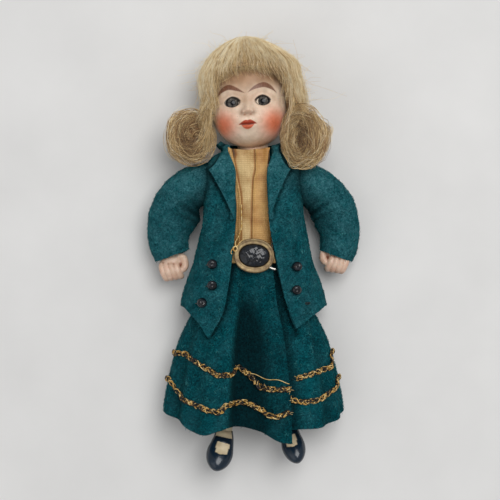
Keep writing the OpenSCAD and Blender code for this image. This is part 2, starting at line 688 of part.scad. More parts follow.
function coat_low_z(y) = lookup(y, [
    [-coat_side_len, -coat_flat], [shoulder_rise, -coat_flat], [coat_top_y - 2, 1.6], [coat_top_y, 3]]);
function coat_square(y) = lookup(y, [
    [-right_point_len, 2.5], [0, 2.9], [shoulder_rise - sleeve_cap_r, 4.6], [shoulder_rise, 6],
    [coat_top_y, 2.6]]);
function coat_mid_z(y) = mix(coat_low_z(y), coat_top_z(y), 0.42);
// Front edges: distance from the middle
function right_edge_x(y) = lookup(y, [
    [-right_point_len, buckle_w / 2 + 6.6], [-0.66 * right_point_len, buckle_w / 2 + 2.6],
    [0, buckle_w / 2 + 0.4], [0.5 * shoulder_rise, 0.43 * blouse_w],
    [0.8 * neck_rise, 0.43 * blouse_w], [coat_top_y, 0.6 * blouse_w]]);
function left_edge_x(y) = lookup(y, [
    [-left_point_len, buckle_w / 2 + 6], [-0.66 * left_point_len, buckle_w / 2 + 3.4],
    [0, buckle_w / 2 + 0.6], [0.5 * shoulder_rise, 0.36 * blouse_w],
    [0.8 * neck_rise, 0.32 * blouse_w], [coat_top_y, 0.48 * blouse_w]]);
function edge_angle(x, y) = asin(pow(x / coat_half_w(y), coat_square(y) / 2));
function coat_point(y, a) = let(n = cos(a) > 0 ? coat_square(y) : 3.4)
    [coat_half_w(y) * spow(sin(a), 2 / n), y,
        coat_mid_z(y) + (cos(a) > 0 ? coat_top_z(y) - coat_mid_z(y) : coat_mid_z(y) - coat_low_z(y))
        * spow(cos(a), 2 / n)];
// Height of the coat's outer face over a place on its front
function coat_face_z(x, y) = let(n = coat_square(y))
    coat_mid_z(y) + (coat_top_z(y) - coat_mid_z(y))
    * pow(max(0, 1 - pow(abs(x) / coat_half_w(y), n)), 1 / n);
function coat_hem_y(t) = -lookup(t, [[0, left_point_len], [0.1, mix(left_point_len, coat_side_len, 0.3)],
    [0.26, coat_side_len], [0.5, coat_side_len + 0.8], [0.74, coat_side_len],
    [0.9, mix(right_point_len, coat_side_len, 0.35)], [1, right_point_len]]);
// The collar stands up at the sides and back of the neck
function coat_neck_y(t) = coat_top_y + collar_h * soft(t / 0.18) * soft((1 - t) / 0.18);
coat_rows = 13;
coat_cols = 30;
coat_grid = [for (i = [0 : coat_rows]) [for (j = [0 : coat_cols])
    let(t = j / coat_cols, y = mix(coat_hem_y(t), coat_neck_y(t), 1 - pow(1 - i / coat_rows, 1.15)),
        a = mix(edge_angle(left_edge_x(y), y), 360 - edge_angle(right_edge_x(y), y), t))
    coat_point(y, a)]];
armhole_r = sleeve_cap_r + 1.5 * limb_gap;

module jacket() {
    color("#1d6566") difference() {
        sheet(coat_grid, inset(coat_grid, felt_t));
        for (side = [0, 1]) mirror([side, 0, 0])
            at_shoulder() along_x(coat_x - 3 * felt_t, coat_x + 2 * felt_t, armhole_r);
        translate([-2 * coat_hem_x, -2 * coat_hem_x, -2 * felt_t])
            cube([4 * coat_hem_x, 4 * coat_hem_x, 2 * felt_t]);
    }
}

// Lapels turn back over the fronts from the neck edge to a point
lapel_rows = 8;
lapel_cols = 4;
notch_y = shoulder_rise + 0.62 * sleeve_cap_r;
function lapel_share(y) = y > notch_y ? mix(1, 0.2, pow((y - notch_y) / (coat_top_y - notch_y), 0.7))
    : mix(0.05, 1, pow((y - lapel_end) / (notch_y - lapel_end), 1.2));
function lapel_grid(side, width, lift) = [for (i = [0 : lapel_rows])
    let(y = mix(lapel_end, coat_top_y - 0.3, i / lapel_rows),
        edge = (side > 0 ? left_edge_x(y) : right_edge_x(y)) + 0.1)
    [for (j = [0 : lapel_cols]) let(x = edge + width * lapel_share(y) * j / lapel_cols)
        [side * x, y, coat_face_z(x, y) + lift]]];
function flipped(grid) = [for (row = grid) [for (j = [len(row) - 1 : -1 : 0]) row[j]]];
lapel_lift = layer_gap;

module right_lapel() {
    color("#2a7474") sheet(flipped(lapel_grid(-1, lapel_w, lapel_lift + felt_t)),
        flipped(lapel_grid(-1, lapel_w, lapel_lift)));
}

module left_lapel() {
    color("#2a7474") sheet(lapel_grid(1, 0.86 * lapel_w, lapel_lift + felt_t),
        lapel_grid(1, 0.86 * lapel_w, lapel_lift));
}

// Sleeve from a round cap, set into the armhole on the shoulder's axis, to the cuff
sleeve_tuck = 1;
sleeve_x = coat_x - sleeve_tuck;
sleeve_path = [[sleeve_x, shoulder_rise, body_z], [sleeve_x + 1.36 * sleeve_cap_r, shoulder_rise, body_z],
    wrist + [3.6, 9.8, 0.4], wrist + [0, 0.4, 0]];
sleeve_rows = 12;
sleeve_cols = 18;
function sleeve_r(t) = t < 0.45 ? mix(sleeve_cap_r, sleeve_elbow_r, soft(t / 0.45))
    : mix(sleeve_elbow_r, cuff_r, soft((t - 0.45) / 0.55));
function sleeve_grid(thin) = [for (i = [0 : sleeve_rows]) let(t = i / sleeve_rows, r = sleeve_r(t) - thin)
    tube_ring(bezier(sleeve_path, t), bezier_way(sleeve_path, t), r, mix(1, 0.86, soft(2 * t)) * r,
        sleeve_cols)];

module sleeve() {
    color("#1f6b6c") sheet(sleeve_grid(0), sleeve_grid(felt_t), true);
}

module right_sleeve() {
    mirror([1, 0, 0]) sleeve();
}

module left_sleeve() {
    sleeve();
}

// Beads lie on the coat's face; the lowest one on the left front is lost
bead_places = [[-10.7, -2.1], [-10.7, -7.6], [-13.4, -12.1], [11.3, -2.7], [11.2, -8.8]];
bead_bore_r = 0.35;

module bead_buttons() {
    color("#17161a") for (p = bead_places)
        translate([p[0], p[1], coat_face_z(p[0], p[1]) + bead_d / 2 + layer_gap]) difference() {
            sphere(d = bead_d);
            along_y(-bead_d, bead_d, bead_bore_r);
        }
}

// Skirt sections, from the waist down to the hem
skirt_top_y = 1;
// Gaps between the braid and the skirt, and between the braid and the table
braid_seat = 0.3;
braid_lift = 0.1;
skirt_waist_x = waist_w / 2 + waist_ease + felt_t;
under_coat_x = coat_hem_x - felt_t - 2.9;
function skirt_half_w(y) = lookup(y, [
    [-skirt_side_len - front_dip, hem_w / 2 + 0.5], [-skirt_side_len, hem_w / 2],
    [-coat_side_len - 10, mix(under_coat_x, hem_w / 2, 0.55)], [-coat_side_len, under_coat_x],
    [-hip_drop, mix(skirt_waist_x, under_coat_x, 0.68)], [skirt_top_y, skirt_waist_x]]);
function skirt_top_z(y) = lookup(y, [
    [-skirt_side_len - front_dip, hem_z], [-right_point_len - 3, coat_front_z + 1.8],
    [-coat_side_len, coat_front_z - 0.1], [-hip_drop, coat_front_z - 0.2],
    [skirt_top_y, body_z + 0.48 * torso_d + waist_ease + felt_t + 0.6 * lap_room]]);
function skirt_low_z(y) = lookup(y, [
    [-coat_side_len - 10, braid_d + braid_seat + braid_lift], [-coat_side_len, felt_t + layer_gap],
    [skirt_top_y, body_z - 0.48 * torso_d - waist_ease - felt_t]]);
// The outer front panel laps over the inner one, which starts under it
lap_edge = 24;
lap_turn = 14;
lap_fade = 24;
lap_room = felt_t + layer_gap;
function skirt_angle(t) = lap_edge - lap_turn + (360 + lap_turn) * t;
function lap_sink(a) = lap_room * (1 - soft((a - lap_edge - 4) / lap_fade));
// Share of the length, counted from the waist
function fold_share(s) = soft(1.15 * s - 0.1);
function fold_sink(a, s) = fold_d * fold_share(s) * (bump(a - 348, 9) + 0.22 * bump(a - 300, 10)
    + 0.2 * bump(a - 62, 9)
    + 0.18 * (1 - cos(6 * a)) / 2 * soft((a - 90) / 20) * soft((270 - a) / 20));
function skirt_hem_y(a) = -skirt_side_len - lookup(a, [[10, 0.55 * front_dip], [40, 0.52 * front_dip],
    [66, 0.28 * front_dip], [90, 0], [180, 0.2 * front_dip], [270, 0], [305, 0.3 * front_dip],
    [327, 0.72 * front_dip], [348, 0.44 * front_dip], [364, 0.6 * front_dip], [376, 0.94 * front_dip],
    [384, front_dip]]);
// Smooth section at a height, grown by off: close to the torso's at the waist, flatter behind below it
function skirt_section(y, a, off) = let(near = soft(1 + y / coat_side_len),
    n = cos(a) > 0 ? mix(2.1, 2.5, near) : 2.9,
    mid = mix(skirt_low_z(y), skirt_top_z(y), mix(0.36, 0.5, near)))
    [(skirt_half_w(y) + off) * spow(sin(a), 2 / n), y,
        mid + ((cos(a) > 0 ? skirt_top_z(y) - mid : mid - skirt_low_z(y)) + off) * spow(cos(a), 2 / n)];
function skirt_point(s, a, off = 0) =
    skirt_section(mix(skirt_top_y, skirt_hem_y(a), s), a, off - fold_sink(a, s) - lap_sink(a));
skirt_rows = 10;
skirt_cols = 54;
skirt_grid = [for (i = [skirt_rows : -1 : 0])
    [for (j = [0 : skirt_cols]) skirt_point(i / skirt_rows, skirt_angle(j / skirt_cols))]];

module skirt() {
    color("#175c5c") sheet(skirt_grid, inset(skirt_grid, felt_t));
}

// Braid that runs from the lap's edge round the skirt to the loose edge
braid_rows = 48;
braid_sides = 6;
function braid_point(t, rise) = let(a = mix(lap_edge + 5, 360 + lap_edge - 1, t),
    s = 1 - rise / (skirt_top_y - skirt_hem_y(a)))
    skirt_point(s, a, braid_d / 2 + braid_seat);
function braid_rings(rise) = [for (i = [0 : braid_rows])
    let(p = [for (k = [-1 : 1]) braid_point(clamp01((i + k) / braid_rows), rise)], way = unit(p[2] - p[0]),
        side = unit(cross(way, [0, 1, 0])), up = cross(side, way))
    [for (j = [0 : braid_sides - 1]) let(b = 360 * j / braid_sides)
        p[1] + braid_d / 2 * (cos(b) * side + sin(b) * -up)]];

module upper_braid() {
    color("#c8983e") loft(braid_rings(upper_braid_rise));
}

module lower_braid() {
    color("#c8983e") loft(braid_rings(lower_braid_rise));
}

// Ribbon front with a flat middle and two pleats, from the belt to the chin
blouse_rows = 9;
blouse_cols = 16;
blouse_low_y = belt_w / 2 + layer_gap;
blouse_top_y = neck_rise + 1.3;
pleat_d = 0.6;
function blouse_half_w(y) = lookup(y, [[blouse_low_y, 0.42 * blouse_w], [0.7 * shoulder_rise, 0.4 * blouse_w],
    [blouse_top_y, 0.42 * blouse_w]]);
function blouse_point(y, u, lift) = let(x = u * blouse_half_w(y),
    k = 1 - pow(abs(x) / torso_w(min(y, shoulder_rise)), 2.4))
    [x, y, body_z + torso_half_d(min(y, shoulder_rise)) * pow(max(0.1, k), 1 / 2.4) + layer_gap + lift
        + pleat_d * (1 + cos(540 * u)) / 2 * (abs(u) > 0.33 ? 1 : 0)];
function blouse_grid(lift) = [for (i = [0 : blouse_rows])
    let(y = mix(blouse_low_y, blouse_top_y, i / blouse_rows))
    [for (j = [0 : blouse_cols]) blouse_point(y, 1 - 2 * j / blouse_cols, lift)]];

module blouse() {
    color("#d9b874") sheet(flipped(blouse_grid(ribbon_t)), flipped(blouse_grid(0)));
}

// Belt over the skirt's waist
belt_cols = 32;
belt_lift = 2 * layer_gap;
function belt_grid(lift) = [for (y = [-belt_w / 2, 0, belt_w / 2]) let(low = min(y, skirt_top_y))
    [for (j = [0 : belt_cols - 1])
        skirt_section(low, 360 * j / belt_cols, belt_lift + lift) + [0, y - low, 0]]];

module belt() {
    color("#b98f4a") sheet(belt_grid(ribbon_t), belt_grid(0), true);
}

// Oval buckle on the belt's front with a stone held in its rim
buckle_z = max(skirt_top_z(-belt_w / 2), skirt_top_z(0)) + belt_lift + ribbon_t + 0.05;
stone_gap = 0.1;

module egg(w, h, t) {
    linear_extrude(height = t) hull() for (side = [-1, 1])
        translate([side * (w - h) / 2, 0]) circle(d = h);
}

module buckle_frame() {
    color("#8a7442") translate([0, 0, buckle_z]) difference() {
        egg(buckle_w, buckle_h, buckle_t);
        translate([0, 0, buckle_t / 2]) egg(buckle_w - 2 * buckle_rim, buckle_h - 2.2 * buckle_rim, buckle_t);
    }
}

module buckle_stone() {
    color("#14161a") translate([0, 0, buckle_z + buckle_t / 2 + stone_gap / 2])
        egg(buckle_w - 2 * buckle_rim - 2 * stone_gap, buckle_h - 2.2 * buckle_rim - 2 * stone_gap, buckle_t);
}

// The whole doll is centred between the crown of the wig and the toes
crown_y = neck_rise + hair_top * cos(head_tilt);
toe_y = foot_point(len(foot_sections), right_lean)[1];
module doll() {
    translate([0, -(crown_y + toe_y) / 2, 0]) children();
}

doll() torso();
doll() shoulder_wire();
doll() hip_wire();
doll() neck_toggle();
doll() neck_hook();
doll() head();
doll() right_eye();
doll() left_eye();
doll() eye_plaster();
doll() pate();
doll() wig_cap();
doll() wig_crown();
doll() wig_sides();
doll() right_curl();
doll() left_curl();
doll() right_arm();
doll() left_arm();
doll() right_leg();
doll() left_leg();
doll() blouse();
doll() belt();
doll() buckle_frame();
doll() buckle_stone();
doll() jacket();
doll() right_lapel();
doll() left_lapel();
doll() right_sleeve();
doll() left_sleeve();
doll() bead_buttons();
doll() skirt();
doll() upper_braid();
doll() lower_braid();
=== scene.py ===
# Bisque doll in a green felt coat and skirt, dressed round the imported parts
import math
import bpy
import numpy as np
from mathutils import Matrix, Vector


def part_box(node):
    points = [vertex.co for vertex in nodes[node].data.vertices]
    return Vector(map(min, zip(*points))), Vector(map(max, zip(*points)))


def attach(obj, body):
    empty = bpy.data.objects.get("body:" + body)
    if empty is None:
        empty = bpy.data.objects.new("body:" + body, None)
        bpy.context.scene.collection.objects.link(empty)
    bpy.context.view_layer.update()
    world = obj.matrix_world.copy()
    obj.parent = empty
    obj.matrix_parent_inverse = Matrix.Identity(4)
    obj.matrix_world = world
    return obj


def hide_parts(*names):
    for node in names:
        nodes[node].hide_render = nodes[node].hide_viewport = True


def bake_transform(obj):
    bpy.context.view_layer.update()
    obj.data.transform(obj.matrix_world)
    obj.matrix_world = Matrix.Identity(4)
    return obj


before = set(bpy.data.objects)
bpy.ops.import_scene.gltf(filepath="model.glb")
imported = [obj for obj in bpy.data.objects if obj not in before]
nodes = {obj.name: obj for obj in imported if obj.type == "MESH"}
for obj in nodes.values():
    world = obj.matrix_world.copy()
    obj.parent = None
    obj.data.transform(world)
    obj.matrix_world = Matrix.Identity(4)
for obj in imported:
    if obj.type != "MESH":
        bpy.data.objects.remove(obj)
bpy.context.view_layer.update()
scene = bpy.context.scene
scene.view_settings.view_transform = "Standard"
print("frame loaded:", len(nodes), "nodes")

# Everything below is worked out in millimetres from the waist, as in the part's source
body = dict(neckRise=26.5, shoulderRise=19.2, hipDrop=8.5, bodyZ=9.3, headTilt=4.5, crotchY=-13.5)
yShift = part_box("torso")[0].y * 1000 - body["crotchY"]   # the doll is centred from toe to crown


def toFrame(points):
    return (np.asarray(points, float).reshape(-1, 3) + [0, yShift, 0]) * 0.001


def fromHead(points):
    # head places are counted from the neck ball and lean with the head
    p = np.asarray(points, float)
    lean = math.radians(body["headTilt"])
    x = p[..., 0] * math.cos(lean) - p[..., 1] * math.sin(lean)
    y = p[..., 0] * math.sin(lean) + p[..., 1] * math.cos(lean)
    return np.stack([x, y + body["neckRise"], np.maximum(p[..., 2] + body["bodyZ"], 0.1)], -1)


def mix(a, b, t):
    return a + (b - a) * t


def softStep(t):
    t = np.clip(t, 0, 1)
    return t * t * (3 - 2 * t)


def bump(v, width):
    return np.exp(-(np.asarray(v) / width) ** 2)


def signedPower(v, p):
    return np.sign(v) * np.abs(v) ** p


def unit(v):
    v = np.asarray(v, float)
    return v / np.maximum(np.linalg.norm(v, axis=-1, keepdims=True), 1e-9)


def smoothTable(x, table):
    # smooth curve through pairs of place and value, without overshoot
    px, py = np.array(table, float).T
    h = np.diff(px)
    d = np.diff(py) / h
    m = np.concatenate([[d[0]], np.zeros(len(d) - 1), [d[-1]]])
    for i in range(1, len(d)):
        if d[i - 1] * d[i] > 0:
            w1, w2 = 2 * h[i] + h[i - 1], h[i] + 2 * h[i - 1]
            m[i] = (w1 + w2) / (w1 / d[i - 1] + w2 / d[i])
    x = np.clip(np.asarray(x, float), px[0], px[-1])
    i = np.clip(np.searchsorted(px, x) - 1, 0, len(h) - 1)
    t = (x - px[i]) / h[i]
    return ((1 + 2 * t) * (1 - t) ** 2 * py[i] + t * (1 - t) ** 2 * h[i] * m[i]
            + t * t * (3 - 2 * t) * py[i + 1] + t * t * (t - 1) * h[i] * m[i + 1])


def ripple(points, size, seed, octaves=3):
    # smooth unevenness of about that size, from -1 to 1
    rng = np.random.default_rng(seed)
    p = np.asarray(points, float)
    out, total = 0, 0
    for k in range(octaves):
        for wave in range(5):
            way = unit(rng.normal(size=3)) * 2 * math.pi * 1.9 ** k / size
            out = out + np.sin(p @ way + rng.uniform(0, 6.28)) * 0.55 ** k
        total += 2.2 * 0.55 ** k
    return np.clip(out / total, -1, 1)


def bezier(p, t):
    p = np.asarray(p, float)
    t = np.asarray(t, float)[..., None]
    return ((1 - t) ** 3 * p[0] + 3 * t * (1 - t) ** 2 * p[1]
            + 3 * t * t * (1 - t) * p[2] + t ** 3 * p[3])


def throughPoints(p, n):
    # n places on a smooth line through the points
    p = np.asarray(p, float)
    t = np.linspace(0, len(p) - 1, n)
    return np.stack([smoothTable(t, list(enumerate(p[:, k]))) for k in range(p.shape[1])], -1)


def fullTurn(n):
    # n angles round a circle
    return np.linspace(0, 2 * math.pi, n, endpoint=False)


def tubeRings(path, w, h, sides):
    # rings square to a path, counted from its right side; w and h are half sizes
    path = np.asarray(path, float)
    way = unit(np.gradient(path, axis=0))
    side = unit(np.cross([0, 0, 1], way))
    up = np.cross(way, side)
    a = fullTurn(sides)
    w, h = (np.broadcast_to(np.asarray(v, float), (len(path),)) for v in (w, h))
    return (path[:, None] + w[:, None, None] * np.cos(a)[None, :, None] * side[:, None]
            + h[:, None, None] * np.sin(a)[None, :, None] * up[:, None])


def gridFaces(rows, cols, wrap=False):
    i, j = np.meshgrid(np.arange(rows - 1), np.arange(cols if wrap else cols - 1), indexing="ij")
    a, b = i * cols + j, i * cols + (j + 1) % cols
    return np.stack([a, b, b + cols, a + cols], -1).reshape(-1, 4).tolist()


def hoopFaces(rows, cols):
    # faces of a hoop of rings, where the last ring joins the first again
    return [[i % (rows * cols) for i in face] for face in gridFaces(rows + 1, cols, True)]


def outward(points, faces, inside):
    # turns all the faces over where they look at the inner place
    p = np.asarray(points, float)
    corners = np.array([f[:3] for f in faces])
    n = np.cross(p[corners[:, 1]] - p[corners[:, 0]], p[corners[:, 2]] - p[corners[:, 0]])
    if np.sum(n * (p[corners[:, 0]] - inside)) < 0:
        return [f[::-1] for f in faces]
    return faces


def closedLoft(rings, inside=None):
    # points and outward faces of a closed skin over rings, with a middle point at each end
    rings = np.asarray(rings, float)
    rows, cols = rings.shape[:2]
    points = np.concatenate([rings.reshape(-1, 3), rings[:1].mean(1), rings[-1:].mean(1)])
    faces, low = gridFaces(rows, cols, True), rows * cols
    for j in range(cols):
        k = (j + 1) % cols
        faces.append([low, k, j])
        faces.append([low + 1, low - cols + j, low - cols + k])
    return points, outward(points, faces, points.mean(0) if inside is None else np.array(inside))


def joined(parts):
    # several skins as one list of points and one of faces
    points, faces, start = [], [], 0
    for p, f in parts:
        points.append(np.asarray(p, float).reshape(-1, 3))
        faces += [[i + start for i in face] for face in f]
        start += len(points[-1])
    return np.concatenate(points), faces


def makePiece(name, points, faces, material, fields=None, edges=()):
    mesh = bpy.data.meshes.new(name)
    mesh.from_pydata(toFrame(points).tolist(), list(edges), faces)
    for key, values in (fields or {}).items():
        values = np.asarray(values, np.float32)
        if values.ndim > 1:
            attribute = mesh.attributes.new(key, "FLOAT_COLOR", "POINT")
            rgba = np.concatenate([values, np.ones((len(values), 1), np.float32)], 1)
            attribute.data.foreach_set("color", rgba.ravel())
        else:
            mesh.attributes.new(key, "FLOAT", "POINT").data.foreach_set("value", values)
    mesh.materials.append(material)
    mesh.update()
    if faces:
        mesh.shade_smooth()
    piece = bpy.data.objects.new(name, mesh)
    scene.collection.objects.link(piece)
    return piece


def bake(piece):
    # the piece's modifiers become its plain mesh
    graph = bpy.context.evaluated_depsgraph_get()
    mesh = bpy.data.meshes.new_from_object(piece.evaluated_get(graph), preserve_all_data_layers=True,
                                           depsgraph=graph)
    piece.modifiers.clear()
    old = piece.data
    piece.data = mesh
    mesh.name = piece.name
    bpy.data.meshes.remove(old)
    return piece


def toLinear(text):
    # sRGB hex to linear colour
    s = [int(text[i:i + 2], 16) / 255 for i in (1, 3, 5)]
    return [c / 12.92 if c <= 0.04045 else ((c + 0.055) / 1.055) ** 2.4 for c in s] + [1]


def shade(text):
    return np.array(toLinear(text)[:3])


def addNode(tree, kind, inputs=None, stops=None, **settings):
    # one node with its settings, its links and, on a colour ramp, its stops
    node = tree.nodes.new(kind)
    for key, value in settings.items():
        setattr(node, key, value)
    for key, value in (inputs or {}).items():
        if isinstance(value, bpy.types.NodeSocket):
            tree.links.new(value, node.inputs[key])
        else:
            node.inputs[key].default_value = value
    for i, (place, colour) in enumerate(stops or []):
        ramp = node.color_ramp.elements
        stop = ramp[i] if i < 2 else ramp.new(place)
        stop.position, stop.color = place, toLinear(colour)
    return node


def newMaterial(name, **sockets):
    material = bpy.data.materials.new(name)
    material.use_nodes = True
    tree = material.node_tree
    shader = tree.nodes["Principled BSDF"]
    for key, value in sockets.items():
        shader.inputs[key].default_value = value
    return material, tree, shader


def perMm(size):
    # pattern scale for features of that size in millimetres, on coordinates in metres
    return 1000 / size


def cloudTone(tree, shader, size, stops, detail=4):
    # base colour from a cloudy noise whose blots are that many millimetres; gives the noise back
    place = addNode(tree, "ShaderNodeTexCoord").outputs["Object"]
    cloud = addNode(tree, "ShaderNodeTexNoise", {"Vector": place, "Scale": perMm(size), "Detail": detail})
    tone = addNode(tree, "ShaderNodeValToRGB", {"Fac": cloud.outputs["Fac"]}, stops=stops)
    tree.links.new(tone.outputs["Color"], shader.inputs["Base Color"])
    return cloud.outputs["Fac"]


def tintTone(tree, shader, size, swing, stops):
    # base colour from the piece's tint field, swayed by a noise of that many millimetres
    place = addNode(tree, "ShaderNodeTexCoord").outputs["Object"]
    tint = addNode(tree, "ShaderNodeAttribute", attribute_name="tint").outputs["Fac"]
    cloud = addNode(tree, "ShaderNodeTexNoise", {"Vector": place, "Scale": perMm(size), "Detail": 3})
    sway = addNode(tree, "ShaderNodeMapRange", {"Value": cloud.outputs["Fac"], "From Min": 0.3, "From Max": 0.7,
                                                "To Min": -swing, "To Max": swing})
    total = addNode(tree, "ShaderNodeMath", {0: tint, 1: sway.outputs["Result"]}, operation="ADD")
    tone = addNode(tree, "ShaderNodeValToRGB", {"Fac": total.outputs["Value"]}, stops=stops)
    tree.links.new(tone.outputs["Color"], shader.inputs["Base Color"])
    return tint, cloud.outputs["Fac"]


def dress(piece, carrier="torso", node=None):
    # the imported node that a piece stands for, which is hidden, and the body that carries it
    if node:
        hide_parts(node)
    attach(piece, carrier)


# Camera: straight down on the doll, the table 400 mm below the lens
view = dict(place=(-0.00093, 0.0008, 0.4), lens=105.7, sensor=36, near=0.01)
camera = bpy.data.objects.new("camera", bpy.data.cameras.new("camera"))
camera.location = view["place"]
camera.data.lens = view["lens"]
camera.data.sensor_width = view["sensor"]
camera.data.clip_start = view["near"]
scene.collection.objects.link(camera)
scene.camera = camera

# Soft studio light: one wide lamp high on the right, a weaker one low on the left, and the room.
# Each lamp has its place, its width in metres and its power in watts.
lamps = dict(key=((0.15, 0.2, 0.62), 0.42, 2.9), fill=((-0.4, -0.2, 0.5), 0.6, 0.6))
room = dict(tone="#f3f4f6", strength=0.4)
for name, (place, size, power) in lamps.items():
    lamp = bpy.data.lights.new(name, "AREA")
    lamp.size, lamp.energy = size, power
    holder = bpy.data.objects.new(name, lamp)
    holder.location = place
    aim = -np.array(place) / np.linalg.norm(place)
    holder.rotation_euler = (math.acos(-aim[2]), 0, math.atan2(aim[1], aim[0]) - math.pi / 2)
    scene.collection.objects.link(holder)
scene.world = bpy.data.worlds.new("room")
scene.world.use_nodes = True
walls = scene.world.node_tree.nodes["Background"]
walls.inputs["Color"].default_value = toLinear(room["tone"])
walls.inputs["Strength"].default_value = room["strength"]

# Matt painted board: almost white, with a faint cloudy tone
board, tree, shader = newMaterial("matt painted board", Roughness=0.8)
cloudTone(tree, shader, 26, [(0.3, "#d9d8d6"), (0.7, "#e0dfdd")], 5)
table = bpy.data.meshes.new("table")
table.from_pydata([(-1, -1, 0), (1, -1, 0), (1, 1, 0), (-1, 1, 0)], [], [(0, 1, 2, 3)])
table.materials.append(board)
tableTop = bpy.data.objects.new("table", table)
scene.collection.objects.link(tableTop)
print("camera, light and table set")

# Unglazed bisque: fired clay with tints painted on; smooth, faintly speckled, with a dull sheen.
# The glaze field makes painted shoes wet and bright.
clay = {"Subsurface Weight": 0.12, "Subsurface Scale": 0.0008, "Subsurface Radius": (1, 0.5, 0.3)}
multiply = dict(data_type="RGBA", blend_type="MULTIPLY")
bisque, tree, shader = newMaterial("tinted bisque", **clay)
place = addNode(tree, "ShaderNodeTexCoord").outputs["Object"]
cloud = addNode(tree, "ShaderNodeTexNoise", {"Vector": place, "Scale": perMm(1.6), "Detail": 4})
paint = addNode(tree, "ShaderNodeAttribute", attribute_name="paint").outputs["Color"]
glaze = addNode(tree, "ShaderNodeAttribute", attribute_name="glaze").outputs["Fac"]
tone = addNode(tree, "ShaderNodeValToRGB", {"Fac": cloud.outputs["Fac"]},
               stops=[(0.3, "#e9e5e0"), (0.65, "#ffffff")])
# firing specks, drawn larger than the real dust so that they show
speck = addNode(tree, "ShaderNodeTexNoise", {"Vector": place, "Scale": perMm(0.5), "Detail": 2})
fleck = addNode(tree, "ShaderNodeValToRGB", {"Fac": speck.outputs["Fac"]},
                stops=[(0.24, "#c9b7a4"), (0.32, "#ffffff")])
toned = addNode(tree, "ShaderNodeMix", {"Factor": 1, 6: paint, 7: tone.outputs["Color"]}, **multiply)
specked = addNode(tree, "ShaderNodeMix", {"Factor": 0.5, 6: toned.outputs[2], 7: fleck.outputs["Color"]}, **multiply)
tree.links.new(specked.outputs[2], shader.inputs["Base Color"])
rough = addNode(tree, "ShaderNodeMapRange", {"Value": glaze, "To Min": 0.46, "To Max": 0.2})
tree.links.new(rough.outputs["Result"], shader.inputs["Roughness"])
grain = addNode(tree, "ShaderNodeBump", {"Height": speck.outputs["Fac"], "Strength": 0.06, "Distance": 0.0001})
tree.links.new(grain.outputs["Normal"], shader.inputs["Normal"])

# Mohair: combed goat hair; each hair glints along its length and dulls to brown underneath.
# The tint field runs from dark roots and under hair, whose darkness is painted shade, to sun-bleached tips.
mohair, tree, shader = newMaterial("combed mohair", Roughness=0.46,
                                   **{"Sheen Weight": 0.25, "Sheen Tint": toLinear("#fff2cf")})
tintTone(tree, shader, 2.2, 0.1, [(0, "#573a1c"), (1, "#fcefcf"), (0.3, "#97714a"), (0.55, "#d0ad74"),
                                  (0.8, "#efd6a2")])

# Wool felt: matted short fibres without a weave, dyed blue-green, dull and soft at the surface.
# The wear field pales rubbed places; the deep field is painted shade that darkens folds, seams and the felt beside
# overlapping edges.
felt, tree, shader = newMaterial("dyed wool felt", Roughness=0.95,
                                 **{"Sheen Weight": 0.06, "Sheen Tint": toLinear("#3fa3a6"),
                                    "Specular IOR Level": 0.08})
place = addNode(tree, "ShaderNodeTexCoord").outputs["Object"]
wear = addNode(tree, "ShaderNodeAttribute", attribute_name="wear").outputs["Fac"]
deep = addNode(tree, "ShaderNodeAttribute", attribute_name="deep").outputs["Fac"]
fibre = addNode(tree, "ShaderNodeTexNoise", {"Vector": place, "Scale": perMm(0.5), "Detail": 6,
                                             "Roughness": 0.62, "Distortion": 1.2})
cloud = addNode(tree, "ShaderNodeTexNoise", {"Vector": place, "Scale": perMm(5), "Detail": 3})
blend = addNode(tree, "ShaderNodeMath", {0: cloud.outputs["Fac"], 1: 0.2, 2: fibre.outputs["Fac"]},
                operation="MULTIPLY_ADD")
tone = addNode(tree, "ShaderNodeValToRGB", {"Fac": blend.outputs["Value"]},
               stops=[(0.42, "#001b1f"), (0.84, "#0c666e"), (0.6, "#003b43")])
rubbed = addNode(tree, "ShaderNodeValToRGB", {"Fac": fibre.outputs["Fac"]},
                 stops=[(0.35, "#0d4b54"), (0.7, "#568c92")])
worn = addNode(tree, "ShaderNodeMix", {"Factor": wear, 6: tone.outputs["Color"], 7: rubbed.outputs["Color"]},
               data_type="RGBA")
# painted shade: the dark colour that the deep field lays into folds and beside edges
paintedShade = addNode(tree, "ShaderNodeValToRGB", {"Fac": fibre.outputs["Fac"]},
                 stops=[(0.35, "#00070a"), (0.8, "#002a30")])
tone = addNode(tree, "ShaderNodeMix", {"Factor": deep, 6: worn.outputs[2], 7: paintedShade.outputs["Color"]},
               data_type="RGBA")
tree.links.new(tone.outputs[2], shader.inputs["Base Color"])
matted = addNode(tree, "ShaderNodeBump", {"Height": fibre.outputs["Fac"], "Strength": 0.7, "Distance": 0.0003})
tree.links.new(matted.outputs["Normal"], shader.inputs["Normal"])

# Wool fuzz: loose fibres that catch the light above the felt, drawn thicker than wool so that they show
fuzz, tree, shader = newMaterial("loose wool fibre", Roughness=0.85, **{"Specular IOR Level": 0.1})
place = addNode(tree, "ShaderNodeTexCoord").outputs["Object"]
deep = addNode(tree, "ShaderNodeAttribute", attribute_name="deep").outputs["Fac"]
hue = addNode(tree, "ShaderNodeTexNoise", {"Vector": place, "Scale": perMm(1.5), "Detail": 2})
tone = addNode(tree, "ShaderNodeValToRGB", {"Fac": hue.outputs["Fac"]},
               stops=[(0.35, "#00474d"), (0.75, "#539c9c"), (0.55, "#0f6c72")])
# painted shade: fibres in the deep field darken like the felt under them
tone = addNode(tree, "ShaderNodeMix", {"Factor": deep, 6: tone.outputs["Color"], 7: toLinear("#00252a")},
               data_type="RGBA")
tree.links.new(tone.outputs[2], shader.inputs["Base Color"])


